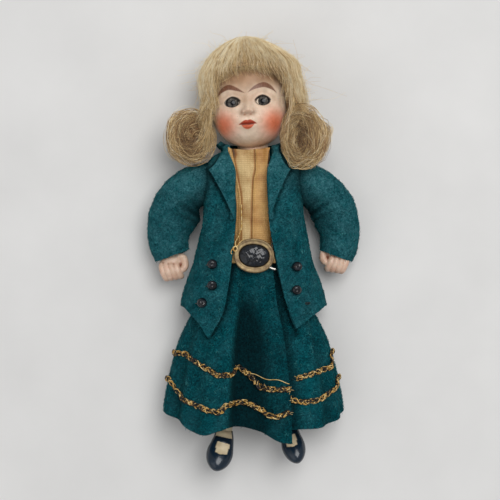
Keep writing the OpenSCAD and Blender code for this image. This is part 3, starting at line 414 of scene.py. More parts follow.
def newTree(name, **sockets):
    # a node tree with geometry in and out, its named inputs and the material
    tree = bpy.data.node_groups.new(name, "GeometryNodeTree")
    for label, kind in {"Geometry": "Geometry", **sockets, "Material": "Material"}.items():
        tree.interface.new_socket(label, in_out="INPUT", socket_type="NodeSocket" + kind)
    tree.interface.new_socket("Geometry", in_out="OUTPUT", socket_type="NodeSocketGeometry")
    return tree, addNode(tree, "NodeGroupInput").outputs


def endTree(tree, geometry, material):
    real = addNode(tree, "GeometryNodeRealizeInstances", {"Geometry": geometry})
    dressed = addNode(tree, "GeometryNodeSetMaterial", {"Geometry": real.outputs["Geometry"],
                                                        "Material": material})
    addNode(tree, "NodeGroupOutput", {"Geometry": dressed.outputs["Geometry"]})


# Tree that turns lines of points into hairs, threads or wires; each point carries its own thickness
strandTree, given = newTree("strands along lines", Sides="Int")
thick = addNode(strandTree, "GeometryNodeInputNamedAttribute", {"Name": "thick"}, data_type="FLOAT")
lines = addNode(strandTree, "GeometryNodeMeshToCurve", {"Mesh": given["Geometry"]})
ring = addNode(strandTree, "GeometryNodeCurvePrimitiveCircle", {"Resolution": given["Sides"], "Radius": 1})
skin = addNode(strandTree, "GeometryNodeCurveToMesh", {"Curve": lines.outputs["Curve"], "Fill Caps": True,
                                                       "Profile Curve": ring.outputs["Curve"],
                                                       "Scale": thick.outputs["Attribute"]})
smooth = addNode(strandTree, "GeometryNodeSetShadeSmooth", {"Geometry": skin.outputs["Mesh"]})
endTree(strandTree, smooth.outputs["Geometry"], given["Material"])

# Tree that scatters short bent fibres over a sheet
fuzzTree, given = newTree("fibres on felt", **{"Count Per Area": "Float", "Length": "Float", "Thickness": "Float",
                                               "Seed": "Int"})
spread = addNode(fuzzTree, "GeometryNodeDistributePointsOnFaces",
                 {"Mesh": given["Geometry"], "Density": given["Count Per Area"], "Seed": given["Seed"]})
arch = addNode(fuzzTree, "GeometryNodeCurveQuadraticBezier",
               {"Resolution": 2, "Start": (-0.5, 0, -0.05), "Middle": (0.1, 0.2, 0.3), "End": (0.5, -0.1, 0.02)})
ring = addNode(fuzzTree, "GeometryNodeCurvePrimitiveCircle", {"Resolution": 3, "Radius": given["Thickness"]})
hair = addNode(fuzzTree, "GeometryNodeCurveToMesh", {"Curve": arch.outputs["Curve"], "Fill Caps": True,
                                                     "Profile Curve": ring.outputs["Curve"]})
turn = addNode(fuzzTree, "FunctionNodeRandomValue", {"Max": (0, 0, 6.283), "Seed": given["Seed"]},
               data_type="FLOAT_VECTOR")
spun = addNode(fuzzTree, "FunctionNodeRotateRotation",
               {"Rotation": spread.outputs["Rotation"], "Rotate By": turn.outputs["Value"]}, rotation_space="LOCAL")
grown = addNode(fuzzTree, "FunctionNodeRandomValue", {2: 0.5, 3: 1.4, "Seed": given["Seed"]}, data_type="FLOAT")
size = addNode(fuzzTree, "ShaderNodeMath", {0: grown.outputs[1], 1: given["Length"]}, operation="MULTIPLY")
laid = addNode(fuzzTree, "GeometryNodeInstanceOnPoints",
               {"Points": spread.outputs["Points"], "Instance": hair.outputs["Mesh"],
                "Rotation": spun.outputs["Rotation"], "Scale": size.outputs["Value"]})
endTree(fuzzTree, laid.outputs["Instances"], given["Material"])


def growNodes(piece, tree, **values):
    # runs a node tree on a piece and keeps the result as its mesh
    modifier = piece.modifiers.new(tree.name, "NODES")
    modifier.node_group = tree
    for item in tree.interface.items_tree:
        if item.in_out == "INPUT" and item.name in values:
            modifier[item.identifier] = values[item.name]
    return bake(piece)


def makeStrands(name, lines, thick, tint, material, sides=3):
    # lines: strands x points x 3; thick: strands x points, a strand's radius in mm
    lines = np.asarray(lines, float)
    count, length = lines.shape[:2]
    first = (np.arange(count)[:, None] * length + np.arange(length - 1)).ravel()
    radius = np.broadcast_to(thick, (count, length)).ravel() * 0.001
    colour = np.broadcast_to(tint, (count, length)).ravel()
    piece = makePiece(name, lines, [], material, {"thick": radius, "tint": colour},
                      edges=np.stack([first, first + 1], 1).tolist())
    return growNodes(piece, strandTree, Sides=sides, Material=material)


# Head: hollow bisque shell with the features pressed in the mould, then painted
head = dict(wide=20.2, deep=20.6, faceRise=11.6, chinH=9.6, crownH=16.6, forward=2.9, crownCut=24.4, wall=1.5,
            rows=(104, 104), cols=216, crowd=42)
eye = dict(r=2.6, z=9.05, halfW=1.98, up=1.5, down=1.16, point=1.7, sink=1.35,
           places=[(-4.41, 13.41), (3.46, 13.28)])
lips = dict(y=7.62, halfW=2.5, lowHalfW=1.8, up=1.3, down=1.3, edge=0.17)
cheeks = [((-7.3, 7.9), 3.3), ((6.1, 7.4), 3.5)]
brows = [[(-8.6, 15.1), (-7.1, 16.8), (-5.25, 17.55), (-3.2, 16.8), (-1.1, 15.65)],
         [(-0.3, 15.75), (1.75, 16.95), (4, 17.5), (5.85, 16.7), (7.2, 15.35)]]
# how far each form stands out, its distance from the middle line and half width, then the level
# that it is counted from, its place above that and its half height
faceForms = dict(wings=(0.65, 1.35, 0.5, 0, 10.7, 0.55), upperLip=(0.55, 0.75, 0.95, lips["y"], 0.62, 0.5),
                 lowerLip=(0.6, 0, 1.15, lips["y"], -0.68, 0.5), parting=(-0.4, 0, 1.7, lips["y"], 0, 0.17),
                 mouth=(0.4, 0, 2.4, 0, 7.8, 1.9), groove=(-0.15, 0, 0.36, 0, 9.35, 0.5),
                 chin=(0.5, 0, 2.2, 0, 4.3, 1.5), cheeks=(0.4, 5.2, 2.6, 0, 8, 2.6), brows=(0.2, 4, 3, 0, 17, 1.3))
skinTones = dict(skin="#e9d2bb", fringeShadow="#9c7653", bridgeShade="#b08763", noseTip="#b98058", lid="#c9a284",
                 brow="#67300f", blush="#e2744c", lip="#ab3918", lowLip="#d96a48", parting="#701d0e",
                 lash="#1a1413", nostril="#a8603f", jawShade="#cc8c58", neck="#dcb797")


def headShare(y, off=0):
    # share of the head's full width and depth at a height
    y = np.asarray(y, float)
    above = np.clip(y - head["faceRise"], 0, None) / (head["crownH"] + off)
    below = np.clip(head["faceRise"] - y, 0, None) / (head["chinH"] + off)
    up = np.clip(1 - above ** 2.4, 0, None) ** (1 / 2.4)
    low = np.sqrt(np.clip(1 - below ** 2, 0, None))
    return np.where(y > head["faceRise"], up, low)


def middleX(y):
    # the face looks a little to its right, so its middle line slants
    return -0.9 + 0.0754 * (y - lips["y"])


def eyeEdge(x, y, at):
    # about the distance to the lid's edge in mm, below 0 inside the opening
    dx = np.abs(x - at[0]) / eye["halfW"]
    dy = np.abs(y - at[1]) / np.where(y > at[1], eye["up"], eye["down"])
    return ((dx ** eye["point"] + dy ** eye["point"]) ** (1 / eye["point"]) - 1) * 1.55


def faceRelief(x, y):
    u = x - middleX(y)
    nose = smoothTable(y, [(9.5, 0), (10.1, 0.22), (10.6, 0.75), (11.2, 1), (12, 0.8), (13.4, 0.36), (15.4, 0.07),
                           (18, 0)])
    out = 1.75 * nose * bump(u, mix(1.05, 1.5, bump(y - 10.9, 1.1)))
    for high, aside, wide, base, at, tall in faceForms.values():
        out = out + high * bump(np.abs(u) - aside, wide) * bump(y - base - at, tall)
    for at in eye["places"]:
        out = out - 0.6 * bump(x - at[0], 2.2) * bump(y - at[1] - 0.4, 2)   # socket
        out = out + 0.16 * bump(eyeEdge(x, y, at) - 0.3, 0.28)              # lids
    return out


def facePaint(x, y, front):
    u = x - middleX(y)
    skin = np.broadcast_to(shade(skinTones["skin"]), (len(x), 3)).copy()

    def lay(colour, weight):
        weight = (np.clip(weight, 0, 1) * front)[:, None]
        skin[:] = skin * (1 - weight) + shade(colour) * weight

    # painted shade under the chin and along the jaw; painted shadow of the fringe on the forehead, and painted shade
    # on the nose bridge
    jawShade = 0.5 * softStep((5.5 - y) / 4) * softStep(np.abs(u) / 6 + 0.1) + 0.6 * softStep((4.2 - y) / 2.6)
    lay(skinTones["jawShade"], jawShade)
    lay(skinTones["fringeShadow"], 0.9 * softStep((y - 15.2) / 4.2))
    lay(skinTones["bridgeShade"], 0.55 * bump(u, 3.4) * softStep((y - 11) / 3))
    lay(skinTones["noseTip"], 0.4 * bump(u, 1.7) * bump(y - 10.8, 1.3))
    for place, wide in cheeks:
        lay(skinTones["blush"], 0.92 * np.exp(-(np.hypot(x - place[0], 0.92 * (y - place[1])) / wide) ** 2.4))
    # lips: a bowed upper one and a shorter, paler lower one
    top = lips["y"] + lips["up"] * np.clip(1 - (np.abs(u) / lips["halfW"]) ** 1.7, 0, 1) - 0.22 * bump(u, 0.4)
    low = lips["y"] - lips["down"] * np.clip(1 - (np.abs(u) / lips["lowHalfW"]) ** 2.2, 0, 1)
    lay(skinTones["lip"], softStep((top - y) / lips["edge"]) * softStep((y - lips["y"] + 0.1) / lips["edge"])
        * softStep((lips["halfW"] - np.abs(u)) / 0.2))
    lay(skinTones["lowLip"], softStep((y - low) / lips["edge"]) * softStep((lips["y"] - y) / lips["edge"])
        * softStep((lips["lowHalfW"] - np.abs(u)) / 0.2))
    lay(skinTones["parting"], 0.9 * bump(y - lips["y"] + 0.02 * u, 0.2) * softStep((2 - np.abs(u)) / 0.8))
    for side in (-1, 1):
        lay(skinTones["nostril"], 0.75 * bump(u - side * 0.78, 0.36) * bump(y - 10.02, 0.2))
        lay(skinTones["nostril"], 0.35 * bump(u - side * 1.55, 0.25) * bump(y - 10.6, 0.5))
    # brows: strokes that start thin, swell and taper
    for line in brows:
        path = throughPoints(line, 70)
        gap = np.hypot(x[:, None] - path[:, 0], y[:, None] - path[:, 1])
        near = gap.argmin(1)
        t = near / 69
        wide = 0.12 + 0.6 * np.sin(math.pi * t) ** 1.3
        strokes = 0.88 + 0.12 * np.sin(40 * t * math.pi + 5 * gap.min(1))
        lay(skinTones["brow"], 0.96 * strokes * softStep((wide - gap.min(1)) / 0.12))
    for at in eye["places"]:
        d = eyeEdge(x, y, at)
        upper, lower = 0.95 * softStep((0.27 - d) / 0.14), 0.5 * softStep((0.14 - d) / 0.12)
        lay(skinTones["lash"], np.where(y > at[1] + 0.2, upper, lower))
        lay(skinTones["lid"], 0.35 * bump(d - 0.9, 0.5) * (y > at[1]))
    return skin


theta = np.linspace(89, 0, head["rows"][0])
rowY = np.concatenate([head["faceRise"] - head["chinH"] * np.sin(np.radians(theta)),
                       np.linspace(head["faceRise"], head["crownCut"], head["rows"][1] + 1)[1:]])
t = np.arange(head["cols"]) / head["cols"]
angle = np.radians(360 * t) - math.radians(head["crowd"]) * np.sin(2 * math.pi * t)   # crowded towards the face
gy, ga = np.meshgrid(rowY, angle, indexing="ij")
front = softStep(2 * np.cos(ga))
gx = head["wide"] / 2 * headShare(gy) * np.sin(ga)
for at in eye["places"]:
    # points beside a lid's edge move onto it, so that the opening has a clean outline
    for again in range(2):
        d = eyeEdge(gx, gy, at)
        slopeX = (eyeEdge(gx + 0.01, gy, at) - d) / 0.01
        slopeY = (eyeEdge(gx, gy + 0.01, at) - d) / 0.01
        steep = np.maximum(slopeX ** 2 + slopeY ** 2, 1e-6)
        snap = (np.abs(d) / np.sqrt(steep) < 0.055) & (np.cos(ga) > 0)
        gx, gy = gx - np.where(snap, d * slopeX / steep, 0), gy - np.where(snap, d * slopeY / steep, 0)
share = headShare(gy)
across = np.clip(gx / np.maximum(head["wide"] / 2 * share, 1e-6), -1, 1)
gz = head["forward"] + head["deep"] / 2 * share * np.where(np.cos(ga) > 0, np.sqrt(1 - across ** 2), np.cos(ga))
gz = gz + front * faceRelief(gx, gy)
for at in eye["places"]:
    gz = gz - front * eye["sink"] * softStep(-eyeEdge(gx, gy, at) / 0.3)
outer = np.stack([gx, gy, gz], -1)
inY = np.linspace(head["crownCut"], head["faceRise"] - 0.9 * head["chinH"] + head["wall"], 14)
iy, ia = np.meshgrid(inY, angle, indexing="ij")
inShare = headShare(iy, -head["wall"])
inner = np.stack([(head["wide"] / 2 - head["wall"]) * inShare * np.sin(ia), iy,
                  head["forward"] + (head["deep"] / 2 - head["wall"]) * inShare * np.cos(ia)], -1)
points, faces = closedLoft(np.concatenate([outer, inner]), (0, head["faceRise"], head["forward"]))
flatFront = np.concatenate([front.ravel(), np.zeros(inner.shape[0] * inner.shape[1] + 2)])
paint = facePaint(points[:, 0], points[:, 1], flatFront)

# Neck: a ball with a bore, open below for the hook, turned about the neck's axis
neck = dict(ballR=4.4, boreR=2.9, tubeR=4.05, tubeLow=1.8, tubeTop=6.4, topR=2.8, sides=48)
ball = [(neck["ballR"] * math.cos(v), neck["ballR"] * math.sin(v)) for v in np.radians(np.linspace(-66, 22, 16))]
bore = [(neck["boreR"] * math.cos(v), neck["boreR"] * math.sin(v)) for v in np.radians(np.linspace(14, -52, 10))]
tube = [(neck["tubeR"], neck["tubeLow"]), (neck["tubeR"], neck["tubeTop"]), (neck["topR"], neck["tubeTop"])]
profile, a = np.array(ball + tube + bore), fullTurn(neck["sides"])
neckPoints = np.stack([profile[:, 0, None] * np.sin(a), np.repeat(profile[:, 1, None], neck["sides"], 1),
                       profile[:, 0, None] * np.cos(a)], -1).reshape(-1, 3)
neckFaces = outward(neckPoints, hoopFaces(len(profile), neck["sides"]), np.zeros(3))
neckPaint = np.broadcast_to(shade(skinTones["neck"]), (len(neckPoints), 3))
allPoints, allFaces = joined([(points, faces), (neckPoints, neckFaces)])
headPiece = makePiece("bisqueHead", fromHead(allPoints), allFaces, bisque,
                      {"paint": np.concatenate([paint, neckPaint]), "glaze": np.zeros(len(allPoints))})
dress(headPiece, "head", "head")
print("head shaped and painted")

# Blown glass eyes: dark iris with pale threads under a clear, wet-looking dome
eyeGlass, tree, shader = newMaterial("blown glass eye", Roughness=0.12, IOR=1.5, **{"Specular IOR Level": 0.25})
paintNode = addNode(tree, "ShaderNodeAttribute", attribute_name="paint").outputs["Color"]
place = addNode(tree, "ShaderNodeTexCoord").outputs["Object"]
thread = addNode(tree, "ShaderNodeTexNoise", {"Vector": place, "Scale": perMm(0.35), "Detail": 3})
veil = addNode(tree, "ShaderNodeValToRGB", {"Fac": thread.outputs["Fac"]},
               stops=[(0.35, "#c4c4c4"), (0.6, "#ffffff")])
toned = addNode(tree, "ShaderNodeMix", {"Factor": 1, 6: paintNode, 7: veil.outputs["Color"]}, **multiply)
tree.links.new(toned.outputs[2], shader.inputs["Base Color"])
iris = dict(pupil=0.66, r=1.72, rim=1.92, up=0.05, white="#8d877e", ringTone="#101216", base="#2a2827",
            threads="#a59d92", black="#07090d")
for name, node, at, turn in (("rightEye", "right_eye", eye["places"][0], 0.12),
                             ("leftEye", "left_eye", eye["places"][1], -0.05)):
    polar = np.radians(np.concatenate([np.linspace(0.6, 42, 56), np.linspace(45, 179, 30)]))
    ring, spin = np.meshgrid(polar, fullTurn(96), indexing="ij")
    dome = eye["r"] + 0.1 * softStep(1.6 - eye["r"] * np.sin(ring)) * (ring < 1)
    rings = np.stack([dome * np.sin(ring) * np.cos(spin), dome * np.sin(ring) * np.sin(spin),
                      dome * np.cos(ring)], -1)
    points, faces = closedLoft(rings, (0, 0, 0))
    off = points[:, :2] - [turn, iris["up"]]
    r, around = np.hypot(off[:, 0], off[:, 1]), np.arctan2(off[:, 1], off[:, 0])
    spokes = 0.5 + 0.5 * np.sin(23 * around + 3 * np.sin(5 * around)) * np.sin(9 * around + 2)
    white = shade(iris["white"])
    colour = np.broadcast_to(white, (len(points), 3)).copy()
    for tone, weight in (("ringTone", softStep((iris["rim"] - r) / 0.1)),
                         ("base", softStep((iris["r"] - 0.15 - r) / 0.3)),
                         ("threads", 0.7 * spokes ** 2 * softStep((iris["r"] - 0.2 - r) / 0.3)),
                         ("black", softStep((iris["pupil"] + 0.1 - r) / 0.14))):
        colour = colour * (1 - weight[:, None]) + shade(iris[tone]) * weight[:, None]
    colour = np.where((points[:, 2] < 0)[:, None], white, colour)               # the back of the ball is plain
    piece = makePiece(name, fromHead(points + [at[0], at[1], eye["z"]]), faces, eyeGlass, {"paint": colour})
    dress(piece, "head", node)
print("eyes set")

# Wig: a combed mohair cap, a fringe, and side hair that runs down into the curls
wig = dict(sideT=4.3, topT=3.4, frontT=1.8, backT=1.9, fringe=20.7, faceEdge=66, gap=0.7, hairR=0.044, points=10,
           rightLow=14.07, rightLock=11.4, leftLock=9.2, nape=6.5)
hairTop = head["faceRise"] + head["crownH"] + wig["topT"]


def hairPoint(y, a, off=0):
    # a in degrees from the front towards the doll's left; the left temple is fuller
    side = mix(1.5, wig["sideT"], softStep((y - 0.3 * head["faceRise"]) / (0.8 * head["faceRise"])))
    above = np.clip(y - head["faceRise"], 0, None) / (hairTop - head["faceRise"])
    below = np.clip(head["faceRise"] - y, 0, None) / (head["chinH"] + 4 * wig["frontT"])
    up = np.clip(1 - above ** 2.2, 0, None) ** 0.57
    low = np.sqrt(np.clip(1 - below ** 2, 0, None))
    k = np.where(y > head["faceRise"], up, low)
    s, c = np.sin(np.radians(a)), np.cos(np.radians(a))
    fuller = 1.6 * bump(y - 24, 3.2) * np.clip(s, 0, 1) ** 2 - 2.9 * bump(y - 13, 6.5) * np.clip(-s, 0, 1)
    thick = np.where(c > 0, wig["frontT"], wig["backT"])
    return np.stack([((head["wide"] / 2 + side + off) * k + fuller) * s, y + 0 * s,
                     head["forward"] + (head["deep"] / 2 + off + thick) * k * c], -1)


def sideLow(a):
    # low edge of the side hair: a lock on each side, high at the right ear, short at the nape
    return smoothTable(a, [(66, wig["leftLock"]), (118, wig["leftLock"]), (146, wig["nape"]), (214, wig["nape"]),
                           (242, wig["rightLow"]), (272, wig["rightLow"]), (294, wig["rightLock"])])


def headPoint(y, a, off):
    k = headShare(y, off)
    return np.stack([(head["wide"] / 2 + off) * k * np.sin(np.radians(a)), y + 0 * a,
                     head["forward"] + (head["deep"] / 2 + off) * k * np.cos(np.radians(a))], -1)


def streaks(a, y, seed):
    # locks that lie side by side: fine in angle, long in height
    return ripple(np.stack([a * 0.9, y * 0.22, 0 * a], -1), 5, seed, 4)


def frameLow(a):
    # the hair's low edge round the face: high over the brow, down along the cheeks
    return smoothTable(np.abs(np.mod(a + 180, 360) - 180), [(0, 21.9), (18, 21.7), (30, 20.9), (40, 19.2),
                                                            (50, 16.4), (58, 13.4), (66, 11.2)])


# under hair of the crown
i, a = np.meshgrid(np.linspace(0, 1, 34), np.arange(0, 360, 1.5), indexing="ij")
lowEdge = np.maximum(wig["fringe"], frameLow(a) + 0.7) + 0.35 * streaks(a, 0 * a, 5)
y = mix(lowEdge, hairTop - 0.35, np.sin(np.radians(88) * i))
groove = streaks(a, y, 6)
top = hairPoint(y, a, -1.15 + 0.65 * bump(i, 0.35) + 0.3 * groove)
underTop = head["faceRise"] + head["crownH"] + wig["gap"]
under = headPoint(mix(lowEdge, underTop, np.sin(np.radians(86) * i)), a, wig["gap"])
points, faces = closedLoft(np.concatenate([top[::-1], under]), (0, 24, 3))
# the under hair is tinted darker than the loose hairs on it, as painted shade
tint = np.concatenate([(0.3 + 0.16 * groove)[::-1].ravel(), np.full(under.size // 3 + 2, 0.1)])
crownPiece = makePiece("crownHair", fromHead(points), faces, mohair, {"tint": tint})
dress(crownPiece, "head", "wig_crown")

# under hair of the sides and back: a thick sheet that leaves the face free
i, a = np.meshgrid(np.linspace(0, 1, 40), np.linspace(wig["faceEdge"], 360 - wig["faceEdge"], 180), indexing="ij")
y = mix(sideLow(a), wig["fringe"] - 0.05 + 0 * a, i)
groove = streaks(a, y, 7)
rim = softStep((a - wig["faceEdge"]) / 5) * softStep((360 - wig["faceEdge"] - a) / 5) * softStep(i / 0.08)
outerSide = mix(headPoint(y, a, 0.5), hairPoint(y, a, -1.05 + 0.3 * groove), 0.35 + 0.65 * rim[..., None])
points, faces = closedLoft(np.concatenate([outerSide, headPoint(y, a, 0.3)[:, ::-1]], 1), (0, 12, 2.9))
# the under hair is tinted darker than the loose hairs on it, as painted shade
tint = np.concatenate([np.concatenate([0.28 + 0.16 * groove, 0.1 + 0 * groove], 1).ravel(), [0.1, 0.1]])
sidePiece = makePiece("sideHair", fromHead(points), faces, mohair, {"tint": tint})
dress(sidePiece, "head", "wig_sides")


def combed(name, count, spread, seed, low):
    # hairs that run from the crown down over a span of angles to their own low ends
    rng = np.random.default_rng(seed)
    a0 = rng.uniform(spread[0], spread[1], count)
    t = np.linspace(0, 1, wig["points"])[None] * np.ones((count, 1))
    first = rng.uniform(0.02, 0.5, count)[:, None]
    along = first + (1 - first) * t
    end = (low(a0) + 0.7 * streaks(a0, 0 * a0, 8) + rng.normal(0, 0.9, count))[:, None]
    y = end + (hairTop - end) * np.cos(np.radians(90) * np.clip(along, 0, 1))
    lock = streaks(a0, 0 * a0, 6)[:, None] + 0.4 * ripple(np.stack([3 * a0, 0 * a0, 0 * a0], -1), 5, 10)[:, None]
    drift = rng.normal(0, 7, count)[:, None] * along ** 2
    wave = 3 * np.sin(along * rng.uniform(4, 11, count)[:, None] + rng.uniform(0, 6, count)[:, None])
    sway = ripple(np.stack([0.3 * a0[:, None] + 0 * y, 0.6 * y, 0 * y], -1), 7, 9)   # locks that wave together
    a = a0[:, None] + drift + (wave + 5 * sway) * along
    lift = rng.exponential(0.28, count)[:, None] * np.sin(along * rng.uniform(3, 9, count)[:, None]
                                                          + rng.uniform(0, 6, count)[:, None])
    off = (-0.95 + 0.3 * lock + 1.6 * rng.uniform(0, 1, count)[:, None] ** 1.5 + lift
           + 0.2 * rng.normal(0, 1, count)[:, None] * along)
    p = hairPoint(y, a, off)
    facing = np.cos(np.radians(a))
    tip = softStep((t - 0.5) / 0.5) * (facing > 0.35)
    p[..., 2] -= 1.1 * tip * rng.uniform(0, 1, count)[:, None]                 # the fringe falls to the forehead
    thick = wig["hairR"] * rng.uniform(0.6, 1.25, count)[:, None] * (1 - 0.6 * t ** 3)
    shadow = 0.24 * softStep((along - 0.66) / 0.34) * (facing > 0.72)
    tone = (0.72 + 0.16 * lock + 0.14 * (off + 0.4) + rng.normal(0, 0.23, count)[:, None] - shadow
            + 0.1 * softStep((0.55 - along) / 0.4))
    dress(makeStrands(name, fromHead(p), thick, np.clip(tone, 0.02, 0.98), mohair), "head")


def wholeLow(a):
    turned = np.mod(a, 360)
    return np.where((turned > wig["faceEdge"] - 3) & (turned < 363 - wig["faceEdge"]),
                    sideLow(np.clip(turned, 66, 294)), frameLow(a))


combed("fringeHair", 2650, (-68, 68), 21, frameLow)
combed("leftSideHair", 2100, (52, 135), 22, wholeLow)
combed("rightSideHair", 2100, (225, 308), 23, wholeLow)
combed("backHair", 700, (130, 230), 24, wholeLow)

# Stray hairs: they leave the wig's surface and bend away in wide arcs
strays = dict(count=1500, r=0.036, reach=0.75, long=9, loops=70)
rng = np.random.default_rng(25)
count, u = strays["count"], np.linspace(0, 1, 8)[None, :, None]
y0 = rng.uniform(9, 30.6, count)
a0 = np.where(rng.random(count) < 0.5, rng.uniform(48, 120, count), rng.uniform(240, 312, count))
a0 = np.where(y0 > 22, rng.uniform(-110, 110, count), a0)
# most of the last ones stand along the outline
rimmed = np.arange(count) > 0.5 * count
y0 = np.where(rimmed, 8 + 23.2 * rng.random(count) ** 0.6, y0)
a0 = np.where(rimmed & (y0 < 29), rng.choice([-1, 1], count) * rng.normal(88, 12, count), a0)
root = hairPoint(np.minimum(y0, hairTop - 0.5), a0, 0)
out = unit(root - [0, 13, 4])
aim = unit(out * rng.uniform(0, 0.45, (count, 1)) + rng.normal(size=(count, 3)) * [0.7, 0.6, 0.25]
           + [0, -0.45, 0.1])
bend = rng.normal(size=(count, 3)) * [1.1, 1.1, 0.35] - 0.5 * out
far = 0.6 + np.minimum(rng.exponential(strays["reach"], count), 2.4)
far[:strays["long"]] = rng.uniform(3, 6, strays["long"])
loops = slice(strays["long"], strays["long"] + strays["loops"])
far[loops] = rng.uniform(1.6, 3.4, strays["loops"])
bend[loops] = 1.4 * bend[loops] - 0.5 * out[loops]
far = far[:, None, None]
curly = np.sin(u * rng.uniform(3, 8, (count, 1, 1)) + rng.uniform(0, 6, (count, 1, 1)))
curly = curly * unit(np.cross(aim, [0, 0, 1]))[:, None]
p = root[:, None] + far * (u * aim[:, None] + u ** 2 * bend[:, None] * 0.8 + 0.28 * u * curly)
strayPiece = makeStrands("strayHair", fromHead(p), strays["r"] * (1 - 0.5 * u[..., 0] ** 2),
                         rng.uniform(0.45, 0.95, (count, 1)), mohair)
dress(strayPiece, "head")
print("wig combed")

# Curls: one lock each, rolled up from its loose end
curls = dict(lockT=2.1, lockW=3.4, gap=0.3, turns=2.3, hairs=1400, rough=0.55, tangle=620, joins=420,
             rests=(0, 20, 9.3), hangs=(0, 31.5, 9.3))
# each with its node, radius, stretch, first angle, turn about the upright axis, centre and seed
curlList = [("rightCurl", "right_curl", 6.6, 1.1, 40, 20, (-16.5, 5.9, 3.7), 31),
            ("leftCurl", "left_curl", 6.8, 1.2, 135, -35, (14.2, 3.4, 10.2), 32)]


def curlPlace(r, stretch, start, turn, centre, t, radial, axial):
    # t along the roll, radial outwards from the lock's middle, axial along the curl's axis
    a = np.radians(start + 360 * curls["turns"] * t)
    roll = r - curls["lockT"] / 2 - (curls["lockT"] + curls["gap"]) * curls["turns"] * t + radial
    x, y = roll * np.cos(a), stretch * roll * np.sin(a)
    v = math.radians(turn)
    return np.stack([centre[0] + x * math.cos(v) + axial * math.sin(v), centre[1] + y,
                     centre[2] - x * math.sin(v) + axial * math.cos(v)], -1)


